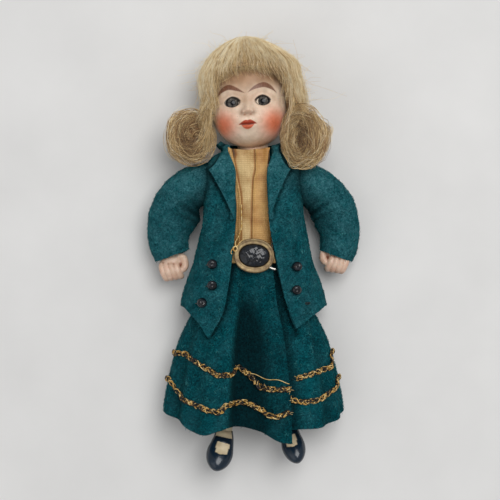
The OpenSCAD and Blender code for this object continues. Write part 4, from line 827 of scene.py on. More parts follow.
for name, node, *shape, seed in curlList:
    r, stretch, turn, centre = shape[0], shape[1], math.radians(shape[3]), np.array(shape[-1])
    side = -1 if centre[0] < 0 else 1
    rng = np.random.default_rng(seed)
    t, b = np.meshgrid(np.linspace(0, 1, 90), fullTurn(28), indexing="ij")
    fat = mix(0.5, 1, softStep(8 * t) * softStep(10 * (1 - t))) * (0.9 + 0.06 * np.sin(9 * b + 14 * t))
    rings = curlPlace(*shape, t, curls["lockT"] / 2 * fat * np.cos(b), curls["lockW"] * 0.93 * fat * np.sin(b))
    points, faces = closedLoft(rings, centre)
    # painted shade: the roll darkens towards its inner turns
    tint = np.concatenate([(0.3 - 0.14 * t + 0.1 * np.sin(9 * b + 14 * t)).ravel(), [0.2, 0.1]])
    core = makePiece(name + "Roll", fromHead(points), faces, mohair, {"tint": tint})
    # hairs that run round with the roll
    count, u = curls["hairs"], np.linspace(0, 1, 12)[None]
    b = rng.uniform(0, 2 * math.pi, count)[:, None]
    out = np.sqrt(rng.uniform(0.62, 1.12, count))[:, None]
    long = rng.uniform(0.16, 0.5, count)[:, None]
    t0 = rng.uniform(-0.06, 0.92, count)[:, None]
    t = np.clip(t0 + long * u, -0.05, 1.02)
    stray = rng.normal(0, curls["rough"], (count, 1)) * np.sin(u * rng.uniform(2, 6, (count, 1)))
    fat = mix(0.55, 1, softStep(8 * t) * softStep(10 * (1 - t)))
    radial = curls["lockT"] / 2 * fat * out * np.cos(b + 0.5 * (t - t0)) + stray
    axial = curls["lockW"] * fat * out * np.sin(b + 1.4 * (t - t0)) + 1.2 * stray
    p = curlPlace(*shape, t, radial, axial)
    p = p + rng.normal(0, 0.45, (count, 1, 3)) * [1, 1, 0.5]
    p = p + 0.75 * np.stack([ripple(p, 6, seed + k) for k in (1, 2, 3)], -1)
    # painted shade on the inner turns and on the inner side of the lock; the lock's outer side is lighter as painted
    # light
    tone = 0.49 - 0.34 * softStep(1.6 * t - 0.2) + rng.normal(0, 0.24, (count, 1)) + 0.12 * np.cos(b)
    thick = wig["hairR"] * rng.uniform(0.7, 1.2, (count, 1)) * (1 - 0.5 * np.linspace(-1, 1, 12)[None] ** 4)
    hairs = makeStrands(name + "Hair", fromHead(p), thick, np.clip(tone, 0.02, 0.98), mohair)
    # tangled hairs cross the roll
    m, u = curls["tangle"], np.linspace(0, 1, 11)[None]
    wide = (r * rng.uniform(0.15, 1.06, (m, 1)) + u * rng.normal(0, 2.4, (m, 1))
            + 0.3 * np.sin(u * rng.uniform(3, 8, (m, 1))))
    wide = np.clip(wide, 0.3, r + 0.35)
    around = (rng.uniform(0, 2 * math.pi, (m, 1))
              + u * rng.uniform(0.5, 1.9, (m, 1)) * rng.choice([1, 1, 1, -1], (m, 1)))
    above = curls["lockW"] * (1.1 - 0.5 * (wide / r) ** 3) + rng.exponential(0.2, (m, 1)) * np.sin(math.pi * u)
    x, y = wide * np.cos(around), stretch * wide * np.sin(around)
    p = centre + np.stack([x * math.cos(turn) + above * math.sin(turn), y,
                           above * math.cos(turn) - x * math.sin(turn)], -1)
    # painted shade: the tangled hairs darken towards the curl's middle
    tone = np.clip(0.18 + 0.34 * wide / r + rng.normal(0, 0.25, (m, 1)), 0.03, 0.97)
    tangle = makeStrands(name + "Tangle", fromHead(p), 0.9 * wig["hairR"], tone, mohair)
    # side hair that comes down beside the cheek and turns into the roll
    m, u = curls["joins"], np.linspace(0, 1, 14)
    a0 = rng.uniform(52, 84, m) if side > 0 else rng.uniform(276, 308, m)
    root = hairPoint(rng.uniform(14, 19, m), a0, rng.uniform(-0.3, 0.3, m))
    around = np.radians(rng.uniform(-75, 60, m) if side < 0 else rng.uniform(110, 250, m))
    reach = r * rng.uniform(0.35, 0.95, m)
    land = centre + np.stack([reach * np.cos(around), reach * np.sin(around),
                              rng.uniform(0.2, 1.1, m) * curls["lockW"]], -1)
    bend = np.stack([-side * np.sin(around), side * np.cos(around), 0 * around], -1)
    past = land + 3.4 * bend * rng.uniform(0.3, 1, (m, 1)) - [0, 0, 0.8]
    p = np.stack([bezier([root[k], root[k] + [0.2 * side, -5, 0.6], land[k] - 3 * bend[k] + [0, 0, 0.6], past[k]], u)
                  for k in range(m)])
    p = p + 0.35 * np.stack([ripple(p, 4, seed + k) for k in (4, 5, 6)], -1)
    tone = np.clip(rng.normal(0.62, 0.2, (m, 1)), 0.05, 0.98)
    joins = makeStrands(name + "Joins", fromHead(p), 0.85 * wig["hairR"], tone, mohair)
    for piece in (core, hairs, tangle, joins):
        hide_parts(node)
        if side < 0 or piece == joins:
            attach(piece, "head")
        else:
            # the low end of this curl lies on the shoulder and stays there when the head turns
            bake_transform(piece)
print("curls rolled")

# Felt clothes: cut from one thick sheet, soft at the edges and fuzzy all over
cloth = dict(thick=1.3, edge=0.34, fuzzPerMm2=2.15, fuzzLong=1, fuzzThick=0.034)


def feltSheet(name, grid, wear, deep, inside, wrap=False, keep=None):
    # a sheet whose outer face is the grid, thickened inwards with rounded edges
    rows, cols = grid.shape[:2]
    points = grid.reshape(-1, 3)
    faces = gridFaces(rows, cols, wrap)
    if keep is not None:
        faces = [f for f in faces if keep[f].all()]
    faces = outward(points, faces, np.asarray(inside, float))
    used = np.unique(np.array(faces))
    place = np.full(len(points), -1)
    place[used] = np.arange(len(used))
    faces = place[np.array(faces)].tolist()
    # wear is rubbing; deep is painted shade, laid on the sheet and on its loose fibres
    worn, paintedShade = np.clip(wear, 0, 0.8).ravel()[used], np.clip(deep, 0, 0.9).ravel()[used]
    piece = makePiece(name, points[used], faces, felt, {"wear": worn, "deep": paintedShade})
    skin = piece.modifiers.new("thickness", "SOLIDIFY")
    skin.thickness, skin.offset, skin.use_even_offset = cloth["thick"] * 0.001, -1, False
    soft = piece.modifiers.new("soft edge", "BEVEL")
    soft.width, soft.segments, soft.limit_method = cloth["edge"] * 0.001, 3, "ANGLE"
    soft.angle_limit = math.radians(50)
    bake(piece)
    piece.data.shade_smooth()
    # loose fibres stand on the outer face only
    lint = makePiece(name + "Fuzz", points[used], faces, fuzz, {"deep": paintedShade})
    growNodes(lint, fuzzTree, **{"Count Per Area": cloth["fuzzPerMm2"] * 1e6, "Length": cloth["fuzzLong"] * 0.001,
                                 "Thickness": cloth["fuzzThick"], "Seed": len(name), "Material": fuzz})
    return piece, lint


# Jacket: open front with two long points, the back pressed flat on the table
coat = dict(x=13, waistFlare=2.4, hemFlare=6.4, frontZ=17.8, sideLen=13, rightPoint=21.4, leftPoint=18.8, capR=5.6,
            collar=1.9, armhole=6.05)
coatTop = body["neckRise"] + 1.2
hemX = coat["x"] + coat["hemFlare"]
sh, cx, cz = body["shoulderRise"], coat["x"], coat["frontZ"]
coatTables = dict(
    wide=[(-coat["rightPoint"], hemX + 1.2), (-coat["sideLen"], hemX),
          (-0.6 * coat["sideLen"], cx + 0.8 * coat["hemFlare"]), (0, cx + coat["waistFlare"]),
          (sh - coat["capR"], cx + 0.1), (sh + 0.5 * coat["capR"], cx), (sh + 0.85 * coat["capR"], cx - 0.5),
          (coatTop - 2, cx - 1.6), (coatTop - 0.9, cx - 3), (coatTop, cx - 4.6),
          (coatTop + coat["collar"], cx - 3.2)],
    top=[(-coat["rightPoint"], cz + 2.6), (-coat["sideLen"], cz + 1.8), (0, cz + 1.4), (sh - coat["capR"], cz + 0.4),
         (sh, cz - 0.6), (coatTop - 2, cz - 1.2), (coatTop, cz - 1.8)],
    low=[(-coat["sideLen"], 0), (sh, 0), (coatTop - 2, 1.6), (coatTop, 3)],
    square=[(-coat["rightPoint"], 2.5), (0, 2.9), (sh - coat["capR"], 4.6), (sh, 6), (coatTop, 2.6)],
    rightEdge=[(-coat["rightPoint"], 11.8), (-0.66 * coat["rightPoint"], 7.8), (0, 5.6), (0.5 * sh, 4.73),
               (21.2, 4.73), (coatTop, 6.6)],
    leftEdge=[(-coat["leftPoint"], 11.2), (-0.66 * coat["leftPoint"], 8.6), (0, 5.8), (0.5 * sh, 3.96),
              (21.2, 3.52), (coatTop, 5.28)])


def coatAt(key, y):
    return smoothTable(y, coatTables[key])


def coatFace(x, y):
    # height of the coat's outer face over a place on its front
    n = coatAt("square", y)
    mid = mix(coatAt("low", y), coatAt("top", y), 0.42)
    full = np.clip(1 - (np.abs(x) / coatAt("wide", y)) ** n, 0, None) ** (1 / n)
    return mid + (coatAt("top", y) - mid) * full


lapels = dict(w=6.8, end=9.5, lift=0.45, leftShare=0.86)
notchY = sh + 0.62 * coat["capR"]


def lapelShare(y):
    return np.where(y > notchY, mix(1, 0.2, np.clip((y - notchY) / (coatTop - notchY), 0, 1) ** 0.7),
                    mix(0.05, 1, np.clip((y - lapels["end"]) / (notchY - lapels["end"]), 0, 1) ** 1.2))


def feltWaves(p, high, seed):
    return high * ripple(p * [1, 0.45, 1], 9, seed, 3)


t, i = np.meshgrid(np.linspace(0, 1, 190), np.linspace(0, 1, 76))
fall = [(0, 0), (0.05, 0.4), (0.1, 0.7), (0.17, 0.96), (0.26, 1)]    # straight cuts up from the points to the sides
hemY = -smoothTable(t, [(k, mix(coat["leftPoint"], coat["sideLen"], share)) for k, share in fall]
                    + [(0.5, coat["sideLen"] + 0.8)]
                    + [(1 - k, mix(coat["rightPoint"], coat["sideLen"], share)) for k, share in fall[::-1]])
neckY = coatTop + mix(mix(1.2, -0.3, t), coat["collar"], softStep(t / 0.15) * softStep((1 - t) / 0.15))
y = mix(hemY, neckY, 1 - (1 - i) ** 1.15)
n = coatAt("square", y)
leftA = np.degrees(np.arcsin(np.clip(coatAt("leftEdge", y) / coatAt("wide", y), 0, 1) ** (n / 2)))
rightA = np.degrees(np.arcsin(np.clip(coatAt("rightEdge", y) / coatAt("wide", y), 0, 1) ** (n / 2)))
a = np.radians(mix(leftA, 360 - rightA, t))
n = np.where(np.cos(a) > 0, n, 3.4)
low, top = coatAt("low", y), coatAt("top", y)
mid = mix(low, top, 0.42)
jacketGrid = np.stack([coatAt("wide", y) * signedPower(np.sin(a), 2 / n), y,
                       mid + np.where(np.cos(a) > 0, top - mid, mid - low) * signedPower(np.cos(a), 2 / n)], -1)
onFront = softStep(3 * np.cos(a))
jacketGrid[..., 2] += onFront * (feltWaves(jacketGrid, 0.28, 41) - 0.15
                                 - 0.5 * bump(jacketGrid[..., 0] + 10.6 - 0.05 * y, 1.3) * bump(y - 11, 7)
                                 - 0.35 * bump(jacketGrid[..., 0] - 11.4, 1.5) * bump(y - 6, 8))
jacketGrid[..., 0] += 0.2 * (1 - onFront) * ripple(jacketGrid, 11, 42)
jacketGrid[..., 2] = np.maximum(jacketGrid[..., 2], 0.02)
# armholes: the points at the edge move onto the round, the rest inside it goes
armDist = np.hypot(jacketGrid[..., 1] - sh, jacketGrid[..., 2] - body["bodyZ"])
nearArm = np.abs(jacketGrid[..., 0]) > cx - 3.9
snap = nearArm & (np.abs(armDist - coat["armhole"]) < 0.42)
grow = np.where(snap, coat["armhole"] / armDist, 1)
jacketGrid[..., 1] = sh + (jacketGrid[..., 1] - sh) * grow
jacketGrid[..., 2] = body["bodyZ"] + (jacketGrid[..., 2] - body["bodyZ"]) * grow
movedDist = np.hypot(jacketGrid[..., 1] - sh, jacketGrid[..., 2] - body["bodyZ"])
keep = ~(nearArm & (movedDist < coat["armhole"] - 0.02))
wear = (onFront * (0.16 + 0.5 * softStep((y - 15) / 8) + 0.14 * ripple(jacketGrid, 6, 43))
        + 0.1 * softStep((y - 20) / 6))
# painted shade along the armhole seams
deep = 0.75 * nearArm * bump(armDist - coat["armhole"], 1.5)
for side, edge, wide in ((-1, "rightEdge", 1), (1, "leftEdge", lapels["leftShare"])):
    # shade beside each lapel
    outX = side * jacketGrid[..., 0]
    rim = coatAt(edge, y) + 0.1 + lapels["w"] * wide * lapelShare(y)
    deep = deep + 0.75 * onFront * bump(outX - rim - 0.4, 0.5) * (outX > 0) * softStep((y - lapels["end"]) / 3)
jacket, jacketFuzz = feltSheet("feltJacket", jacketGrid, wear, deep, (0, 6, 9), keep=keep.ravel())
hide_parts("jacket")

# Lapels: turned back over the fronts, with a notch under the collar end
lapelPieces = []
for name, node, side, edge, wide, seed in (("rightLapel", "right_lapel", -1, "rightEdge", 1, 44),
                                           ("leftLapel", "left_lapel", 1, "leftEdge", lapels["leftShare"], 45)):
    i, j = np.meshgrid(np.linspace(0, 1, 60), np.linspace(0, 1, 22), indexing="ij")
    y = mix(lapels["end"], coatTop + 0.9, i)
    x = coatAt(edge, y) + 0.1 + lapels["w"] * wide * lapelShare(y) * j
    lift = lapels["lift"] + cloth["thick"] + 0.5 * softStep((j - 0.4) / 0.6) * bump(y - notchY, 5)
    grid = np.stack([side * x, y, coatFace(x, y) + lift - 0.35 * bump(j, 0.1)], -1)
    grid[..., 2] += feltWaves(grid, 0.12, seed)
    wear = 0.3 + 0.35 * softStep((y - 17) / 8) + 0.2 * ripple(grid, 4, seed)
    piece, lint = feltSheet(name, grid, wear, 0 * wear, (0, 10, 0))
    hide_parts(node)
    lapelPieces += [piece, lint]

# Sleeves: full at the elbow, creased on the inner side of the bend
sleeve = dict(tuck=1, capR=5.6, elbowR=5.9, cuffR=4.8, wristOut=14, wristDrop=19.6, wristSink=2.6, armX=8.2,
              sides=84, creases=((0.42, 0.8, 0.035), (0.55, 0.5, 0.03), (0.3, 0.35, 0.03)))
wrist = np.array([sleeve["armX"] + sleeve["wristOut"], sh - sleeve["wristDrop"], body["bodyZ"] - sleeve["wristSink"]])
sleeveX = cx - sleeve["tuck"]
sleevePath = [(sleeveX, sh, body["bodyZ"]), (sleeveX + 7.6, sh, body["bodyZ"]), wrist + [3.6, 9.8, 0.4],
              wrist + [0, 0.4, 0]]
for name, node, side, full, seed in (("rightSleeve", "right_sleeve", -1, 2.1, 46),
                                     ("leftSleeve", "left_sleeve", 1, 0.9, 47)):
    t = np.linspace(0, 1, 72)
    r = np.where(t < 0.45, mix(sleeve["capR"], sleeve["elbowR"], softStep(t / 0.45)),
                 mix(sleeve["elbowR"], sleeve["cuffR"], softStep((t - 0.45) / 0.55)))
    path = bezier(sleevePath, t)
    grid = tubeRings(path, r, mix(1, 0.86, softStep(2 * t)) * r, sleeve["sides"])
    grid[0, :, 0] = sleeveX
    tt, b = t[:, None], fullTurn(sleeve["sides"])[None]
    inner = np.clip(np.cos(b - math.pi), 0, 1)                       # towards the body
    crease = sum(-d * bump(tt - at - 0.03 * np.sin(2 * b), w) for at, d, w in sleeve["creases"])
    dent = crease * (0.25 + 0.75 * inner) * np.clip(0.6 + 0.6 * np.sin(b + 0.6), 0.15, 1)
    about = np.stack([tt * 26 + 0 * b, 5 * np.cos(b) + 0 * tt, 5 * np.sin(b) + 0 * tt], -1)
    dent = dent + 0.2 * ripple(about, 8, seed)
    dent = (dent - 0.12) * softStep(tt / 0.12) * softStep((1 - tt) / 0.05 + 0.4)
    dent = (dent + full * inner * softStep((tt - 0.28) / 0.2) * mix(0.45, 1, softStep((0.95 - tt) / 0.35))
            - 0.3 * softStep((tt - 0.93) / 0.07))
    grid = grid + unit(grid - path[:, None]) * dent[..., None]
    grid[..., 0] *= side
    wear = 0.38 + 0.22 * softStep((0.55 - tt) / 0.4) * np.clip(np.sin(b) + 0.3, 0, 1) + 0.2 * ripple(grid, 5, seed)
    # painted shade: darker on the side towards the body, at the shoulder seam and in the creases
    deep = (0.7 * inner ** 0.7 * softStep((0.9 - tt) / 0.5) + 0.5 * bump(tt, 0.07)
            - 0.9 * np.minimum(crease, 0) * (0.3 + inner) * 0.5)
    piece, lint = feltSheet(name, grid, wear, deep, bezier(sleevePath, 0.5) * [side, 1, 1], wrap=True)
    arm = "right_arm" if side < 0 else "left_arm"
    dress(piece, arm, node)
    dress(lint, arm)
for piece in [jacket, jacketFuzz] + lapelPieces:
    dress(piece)
print("coat cut and sewn")

# Skirt: a wrap of felt; the outer front panel laps over the inner one and has a deep fold
skirt = dict(top=1, hemW=48, hemZ=23.4, sideLen=41, dip=7.4, fold=4.2, waistX=8.4, underCoat=15.2, low=1.6, room=1.6,
             lapEdge=24, lapTurn=14, lapFade=24, looseEdge=384,
             small=((0.34, 300, 8), (0.2, 322, 6), (0.3, 56, 7), (0.16, 78, 5)))   # depth, turn and half width
skirtEnd, half = -skirt["sideLen"] - skirt["dip"], skirt["hemW"] / 2
skirtTables = dict(
    wide=[(skirtEnd, half + 0.5), (-skirt["sideLen"], half), (-23, mix(skirt["underCoat"], half, 0.55)),
          (-13, skirt["underCoat"]), (-8.5, mix(skirt["waistX"], skirt["underCoat"], 0.68)),
          (skirt["top"], skirt["waistX"])],
    top=[(skirtEnd, skirt["hemZ"]), (-24.4, cz + 1.8), (-13, cz - 0.1), (-8.5, cz - 0.2), (1, 17.15)],
    low=[(-23, skirt["low"]), (-13, skirt["low"]), (1, 2.41)],
    hem=[(10, 0.55), (40, 0.52), (66, 0.28), (90, 0), (180, 0.2), (270, 0), (305, 0.3), (327, 0.72), (348, 0.44),
         (364, 0.6), (376, 0.94), (384, 1)])


def skirtFolds(s, a):
    # depth of the folds from 0 to 1: the panel drops sharply beside its middle
    # and comes up again to the loose edge
    drop = softStep((a - 344) / 3) * (1 - 0.78 * softStep((a - 351) / 27)) * softStep(1.5 * s + 0.12)
    small = (sum(depth * bump(a - at, wide) for depth, at, wide in skirt["small"])
             + 0.18 * (1 - np.cos(np.radians(6 * a))) / 2 * softStep((a - 90) / 20) * softStep((270 - a) / 20))
    return drop + small * softStep(1.15 * s - 0.1)


def skirtRound(y, a, off):
    # x and z of the skirt's outer face at a height, without its folds
    near = softStep(1 + y / 13)
    c, sn = np.cos(np.radians(a)), np.sin(np.radians(a))
    n = np.where(c > 0, mix(2.1, 2.5, near), 2.9)
    low, top, wide = (smoothTable(y, skirtTables[k]) for k in ("low", "top", "wide"))
    mid = mix(low, top, mix(0.36, 0.5, near))
    return ((wide + off) * signedPower(sn, 2 / n),
            mid + (np.where(c > 0, top - mid, mid - low) + off) * signedPower(c, 2 / n))


def skirtHem(a):
    return -skirt["sideLen"] - skirt["dip"] * smoothTable(a, skirtTables["hem"])


def skirtPoint(s, a, off=0):
    # s from waist to hem, a in degrees from the lap round to the loose edge
    y = mix(skirt["top"], skirtHem(a), s)
    lap = 1 - softStep((a - skirt["lapEdge"] - 4) / skirt["lapFade"])
    off = off - skirt["fold"] * skirtFolds(s, a) - skirt["room"] * lap
    x, z = skirtRound(y, a, off)
    return np.stack([x, y, z], -1)


def onSkirt(y, a, off=0):
    return skirtPoint((skirt["top"] - y) / (skirt["top"] - skirtHem(a)), a, off)


spans = ((skirt["lapEdge"] - skirt["lapTurn"], 90, 64), (90, 270, 76), (270, 340, 50), (340, 354, 34),
         (354, skirt["looseEdge"], 40))
turns = np.concatenate([np.linspace(first, last, n, endpoint=False) for first, last, n in spans]
                       + [[skirt["looseEdge"]]])
s, a = np.meshgrid(np.linspace(1, 0, 76), turns, indexing="ij")
skirtGrid = skirtPoint(s, a)
lift = softStep(1.3 * s - 0.2) * softStep(3 * np.cos(np.radians(a)))
wavy = lift * (0.32 * ripple(skirtGrid * [1, 0.35, 1], 10, 51) - 0.1)
skirtGrid = skirtGrid + wavy[..., None] * np.array([0, 0, 1])
wear = 0.1 * ripple(skirtGrid, 7, 52) + 0.05
x, y = np.abs(skirtGrid[..., 0]), skirtGrid[..., 1]
coatEdge = np.where(skirtGrid[..., 0] < 0, coatAt("rightEdge", y), coatAt("leftEdge", y))
# painted shade: in the folds, at the waist, on the inner panel beside the loose edge and on the skirt beside the
# jacket's fronts
deep = (1.6 * skirtFolds(s, a) * softStep(2.2 * s) + 0.5 * bump(s, 0.12) + 0.75 * softStep((36 - a) / 9)
        + 0.8 * bump(x - coatEdge + 0.2, 1) * softStep((y + coat["rightPoint"] + 1) / 2)
        * (np.cos(np.radians(a)) > 0))
skirtPiece, skirtFuzz = feltSheet("feltSkirt", skirtGrid, wear, deep, (0, -22, 10))
dress(skirtPiece, node="skirt")
dress(skirtFuzz)
print("skirt wrapped")

# Painted bisque limbs
limbs = dict(armR=2.5, wristR=1.9, handLen=6, handR=3.4, fingerR=0.93, thumbR=1.05, voxel=0.19, skin="#e0c4ae",
             palm="#cfa58e", groove="#8a553f", legLen=38, footLen=12.2, footPitch=40, footTurn=20, hipX=5.9, hipR=4,
             kneeSink=2.7, sides=72, sock="#d8c7a6", sockShade="#b89a70", shoe="#162635", shoeLift=0.16)


def meshArrays(piece):
    mesh = piece.data
    points, normals = np.empty(len(mesh.vertices) * 3), np.empty(len(mesh.vertices) * 3)
    mesh.vertices.foreach_get("co", points)
    mesh.vertex_normals.foreach_get("vector", normals)
    edges = np.empty(len(mesh.edges) * 2, np.int32)
    mesh.edges.foreach_get("vertices", edges)
    points = points.reshape(-1, 3) * 1000 - [0, yShift, 0]
    return points, normals.reshape(-1, 3), edges.reshape(-1, 2)


def grooves(points, normals, edges):
    # how deep each point lies between its neighbours, spread out a little
    count = np.bincount(edges.ravel(), minlength=len(points))[:, None]

    def around(values):
        total = np.zeros_like(values)
        np.add.at(total, edges[:, 0], values[edges[:, 1]])
        np.add.at(total, edges[:, 1], values[edges[:, 0]])
        return total / count

    depth = ((around(points) - points) * normals).sum(1, keepdims=True)
    for again in range(6):
        depth = mix(depth, around(depth), 0.6)
    return depth[:, 0]


def tubePart(path, r, sides=16):
    return closedLoft(tubeRings(path, r, r, sides))


# Arm with a loosely closed hand, melted into one skin
armX, armZ = sleeve["armX"], body["bodyZ"]
armPath = np.concatenate([[(armX + d, sh, armZ) for d in (0, 0.5, 1.3)],
                          bezier([(armX + 2.2, sh, armZ), (armX + 6.8, sh - 1.8, armZ - 0.2),
                                  wrist + [2.4, 11.4, 0.9], wrist], np.linspace(0, 1, 40))])
armRadii = np.concatenate([limbs["armR"] * np.array([0.84, 1, 1.04]),
                           mix(limbs["armR"], limbs["wristR"], softStep(np.linspace(0, 1, 40)))])
handWay = unit(np.array([-0.16, -1, -0.04]))
handSide = unit(np.cross([0, 0, 1], handWay))


def inHand(p):
    # x across the hand, y along it and z up, in shares of its size
    p = np.asarray(p, float)
    return (wrist + p[..., 1:2] * limbs["handLen"] * handWay
            + limbs["handR"] * (p[..., :1] * handSide + p[..., 2:] * np.array([0, 0, 1])))


palm = [(0.0, 0.56), (0.06, 0.62), (0.2, 0.84), (0.42, 0.94), (0.64, 0.86), (0.82, 0.6), (0.92, 0.2)]
along = np.linspace(0, 0.92, 24)
palmR = limbs["handR"] * smoothTable(along, palm)
parts = [tubePart(armPath, armRadii, 28)]
palmPath = wrist + along[:, None] * limbs["handLen"] * handWay
parts.append(closedLoft(tubeRings(palmPath, palmR, 0.78 * palmR, 28)))
tip = np.array([0.4, 0.85, 1, 1, 1, 1, 1, 1, 1, 1, 0.95, 0.75, 0.3])
finger = np.array([[0.2, 0.3, 0.45], [0.12, 0.74, 0.72], [-0.04, 1.02, 0.5], [-0.1, 1.06, -0.2]])
for u in (-0.52, -0.14, 0.24, 0.6):
    path = throughPoints(inHand(finger + [u, 0, -0.25 * u * u]), len(tip))
    parts.append(tubePart(path, limbs["fingerR"] * tip))
thumb = np.array([[-0.5, 0.04, 0.1], [-1, 0.25, 0.2], [-1.05, 0.6, 0.4], [-0.6, 0.86, 0.62]])
parts.append(tubePart(throughPoints(inHand(thumb), len(tip)), limbs["thumbR"] * tip))
armSkin = makePiece("armSkin", *joined(parts), bisque)
melt = armSkin.modifiers.new("melt", "REMESH")
melt.mode, melt.voxel_size = "VOXEL", limbs["voxel"] * 0.001
even = armSkin.modifiers.new("even", "SMOOTH")
even.factor, even.iterations = 0.5, 3
bake(armSkin)
points, normals, edges = meshArrays(armSkin)
# painted shade: the grooves between the fingers are darkened with the groove colour
deep = softStep(grooves(points, normals, edges) / 0.012)
reach = softStep((wrist[1] - points[:, 1]) / 3)
paint = mix(shade(limbs["skin"]), shade(limbs["palm"]), (reach * (0.5 + 0.3 * ripple(points, 3, 61)))[:, None])
paint = mix(paint, shade(limbs["groove"]), (deep * reach)[:, None])
armFaces = [list(f.vertices) for f in armSkin.data.polygons]
bpy.data.objects.remove(armSkin)
for name, side, pull in (("right_arm", -1, 0.9), ("left_arm", 1, 2.9)):
    # the hand on the doll's left sits half inside its cuff
    pulled = points + pull * softStep((wrist[1] + 3 - points[:, 1]) / 4)[:, None] * -handWay
    faces = armFaces if side > 0 else [f[::-1] for f in armFaces]
    arm = makePiece(name + "Bisque", pulled * [side, 1, 1], faces, bisque,
                    {"paint": paint, "glaze": np.full(len(points), 0.15)})
    dress(arm, name, name)

# Leg with a painted sock and a one-strap shoe; shares of the length, then half width and half depth.
# The foot's second number is its share of the pitch.
legTable = [(0, 2.39, 3.76), (0.16, 2.91, 3.68), (0.36, 2.81, 3.36), (0.53, 2.65, 2.81), (0.68, 2.73, 2.98),
            (0.87, 2.23, 2.35), (1, 2.1, 2.2)]
footTable = [(0.16, 0.4, 2.52, 2.73), (0.36, 0.8, 3.01, 2.73), (0.58, 1, 3.43, 2.2), (0.78, 1, 3.36, 1.76),
             (0.92, 1, 2.52, 1.26), (1, 1, 0.98, 0.5)]
for name, side, lean, leg, slim in (("right_leg", -1, 2.8, limbs["legLen"], 0.98),
                                    ("left_leg", 1, 5.5, limbs["legLen"] - 2, 0.86)):
    centres, places, sizes = [], [], []
    for share, w, d in legTable:
        centres.append([limbs["hipX"] + share * leg * math.tan(math.radians(lean)), -body["hipDrop"] - leg * share,
                        body["bodyZ"] - limbs["kneeSink"] * share ** 2])
        places.append((share - 1) * leg)
        sizes.append((w, d))
    last, turn = 0, math.sin(math.radians(limbs["footTurn"]))
    for share, pitch, w, d in footTable:
        p = math.radians(limbs["footPitch"]) * pitch
        step = (share - last) * limbs["footLen"]
        step = step * np.array([turn * math.sin(p), -math.cos(p), (1 - turn ** 2) ** 0.5 * math.sin(p)])
        centres.append(np.array(centres[-1]) + step)
        places.append(share * limbs["footLen"])
        sizes.append((w, d))
        last = share
    run = np.concatenate([np.linspace(-leg, -1, 40), np.linspace(-0.8, limbs["footLen"], 90)])
    path = np.stack([smoothTable(run, list(zip(places, np.array(centres)[:, k]))) for k in range(3)], -1)
    w, d = (smoothTable(run, list(zip(places, np.array(sizes)[:, k]))) for k in range(2))
    end = np.clip(1 - ((run / limbs["footLen"] - 0.58) / 0.425).clip(0) ** 2.1, 0.004, 1) ** 0.62
    toe = run > 0.58 * limbs["footLen"]
    w, d = np.where(toe, 3.43 * end, w) * mix(1, slim, softStep(run / 3)), np.where(toe, 2.2 * end ** 0.8, d)
    rings = tubeRings(path, w, d, limbs["sides"])
    v = (run / limbs["footLen"])[:, None] + np.zeros(limbs["sides"])
    b = fullTurn(limbs["sides"])[None] + 0 * v
    across, above = np.cos(b), np.sin(b)
    strap = bump((v - 0.31 + 0.04 * np.cos(2 * b)) / 0.075, 1) > 0.4
    opening = ((above > 0) & (np.abs(across + 0.06) < 0.56 - 0.1 * softStep((v - 0.36) / 0.3))
               & (v < 0.7 - 0.1 * np.abs(across)))
    sock = (v < 0.02) | ((v < 0.26) & (above > -0.2) & (np.abs(across) < 0.82 + 0.1 * v))
    shoe = (((v > 0) & ~opening & ~sock) | (strap & (above > -0.3))).astype(float)
    for again in range(2):
        shoe = 0.5 * shoe + 0.125 * (np.roll(shoe, 1, 1) + np.roll(shoe, -1, 1) + np.roll(shoe, 1, 0)
                                     + np.roll(shoe, -1, 0))
    shoe[0] = shoe[1] = 0
    rings = rings + unit(rings - path[:, None]) * (limbs["shoeLift"] * shoe)[..., None]
    # painted shade on the sock: darker up under the skirt and on its underside
    paintedSockShade = 0.35 * softStep((-5 - run) / 4)[:, None] + 0.25 * (1 - above) / 2
    shaded = mix(shade(limbs["sock"]), shade(limbs["sockShade"]), paintedSockShade[..., None])
    sharp = softStep((shoe - 0.3) / 0.4)
    paint = mix(shaded, shade(limbs["shoe"]), sharp[..., None]).reshape(-1, 3)
    hipLine = np.stack([np.linspace(3.3, 8.5, 9), np.full(9, -body["hipDrop"]), np.full(9, body["bodyZ"])], -1)
    hipRound = [2.8, 3.7] + [limbs["hipR"]] * 5 + [3.7, 2.8]
    points, faces = joined([closedLoft(skin * np.array([side, 1, 1]))
                            for skin in (rings, tubeRings(hipLine, hipRound, hipRound, 40))])
    plain = np.repeat(shade(limbs["sock"])[None], len(points), 0)
    plain[:len(paint)] = paint
    plain[len(rings) * limbs["sides"] + 1] = shade(limbs["shoe"])
    glaze = np.full(len(points), 0.25)
    glaze[:len(paint)] = mix(0.25, 1, sharp.ravel())
    piece = makePiece(name + "Bisque", points, faces, bisque, {"paint": plain, "glaze": glaze})
    dress(piece, name, name)
print("limbs painted")

# Gilt and dark cord: metal thread twisted with brown silk; the tint field is 1 on the metal
cord, tree, shader = newMaterial("gilt and silk cord")
tint, cloud = tintTone(tree, shader, 0.8, 0.22, [(0.1, "#120d0b"), (1, "#ecd296"), (0.4, "#3a2616"),
                                                 (0.6, "#93692f"), (0.8, "#c99b4a")])
metal = addNode(tree, "ShaderNodeMapRange", {"Value": tint, "From Min": 0.5, "From Max": 0.8, "To Max": 0.3})
tree.links.new(metal.outputs["Result"], shader.inputs["Metallic"])
dull = addNode(tree, "ShaderNodeMapRange", {"Value": cloud, "To Min": 0.3, "To Max": 0.62})
tree.links.new(dull.outputs["Result"], shader.inputs["Roughness"])

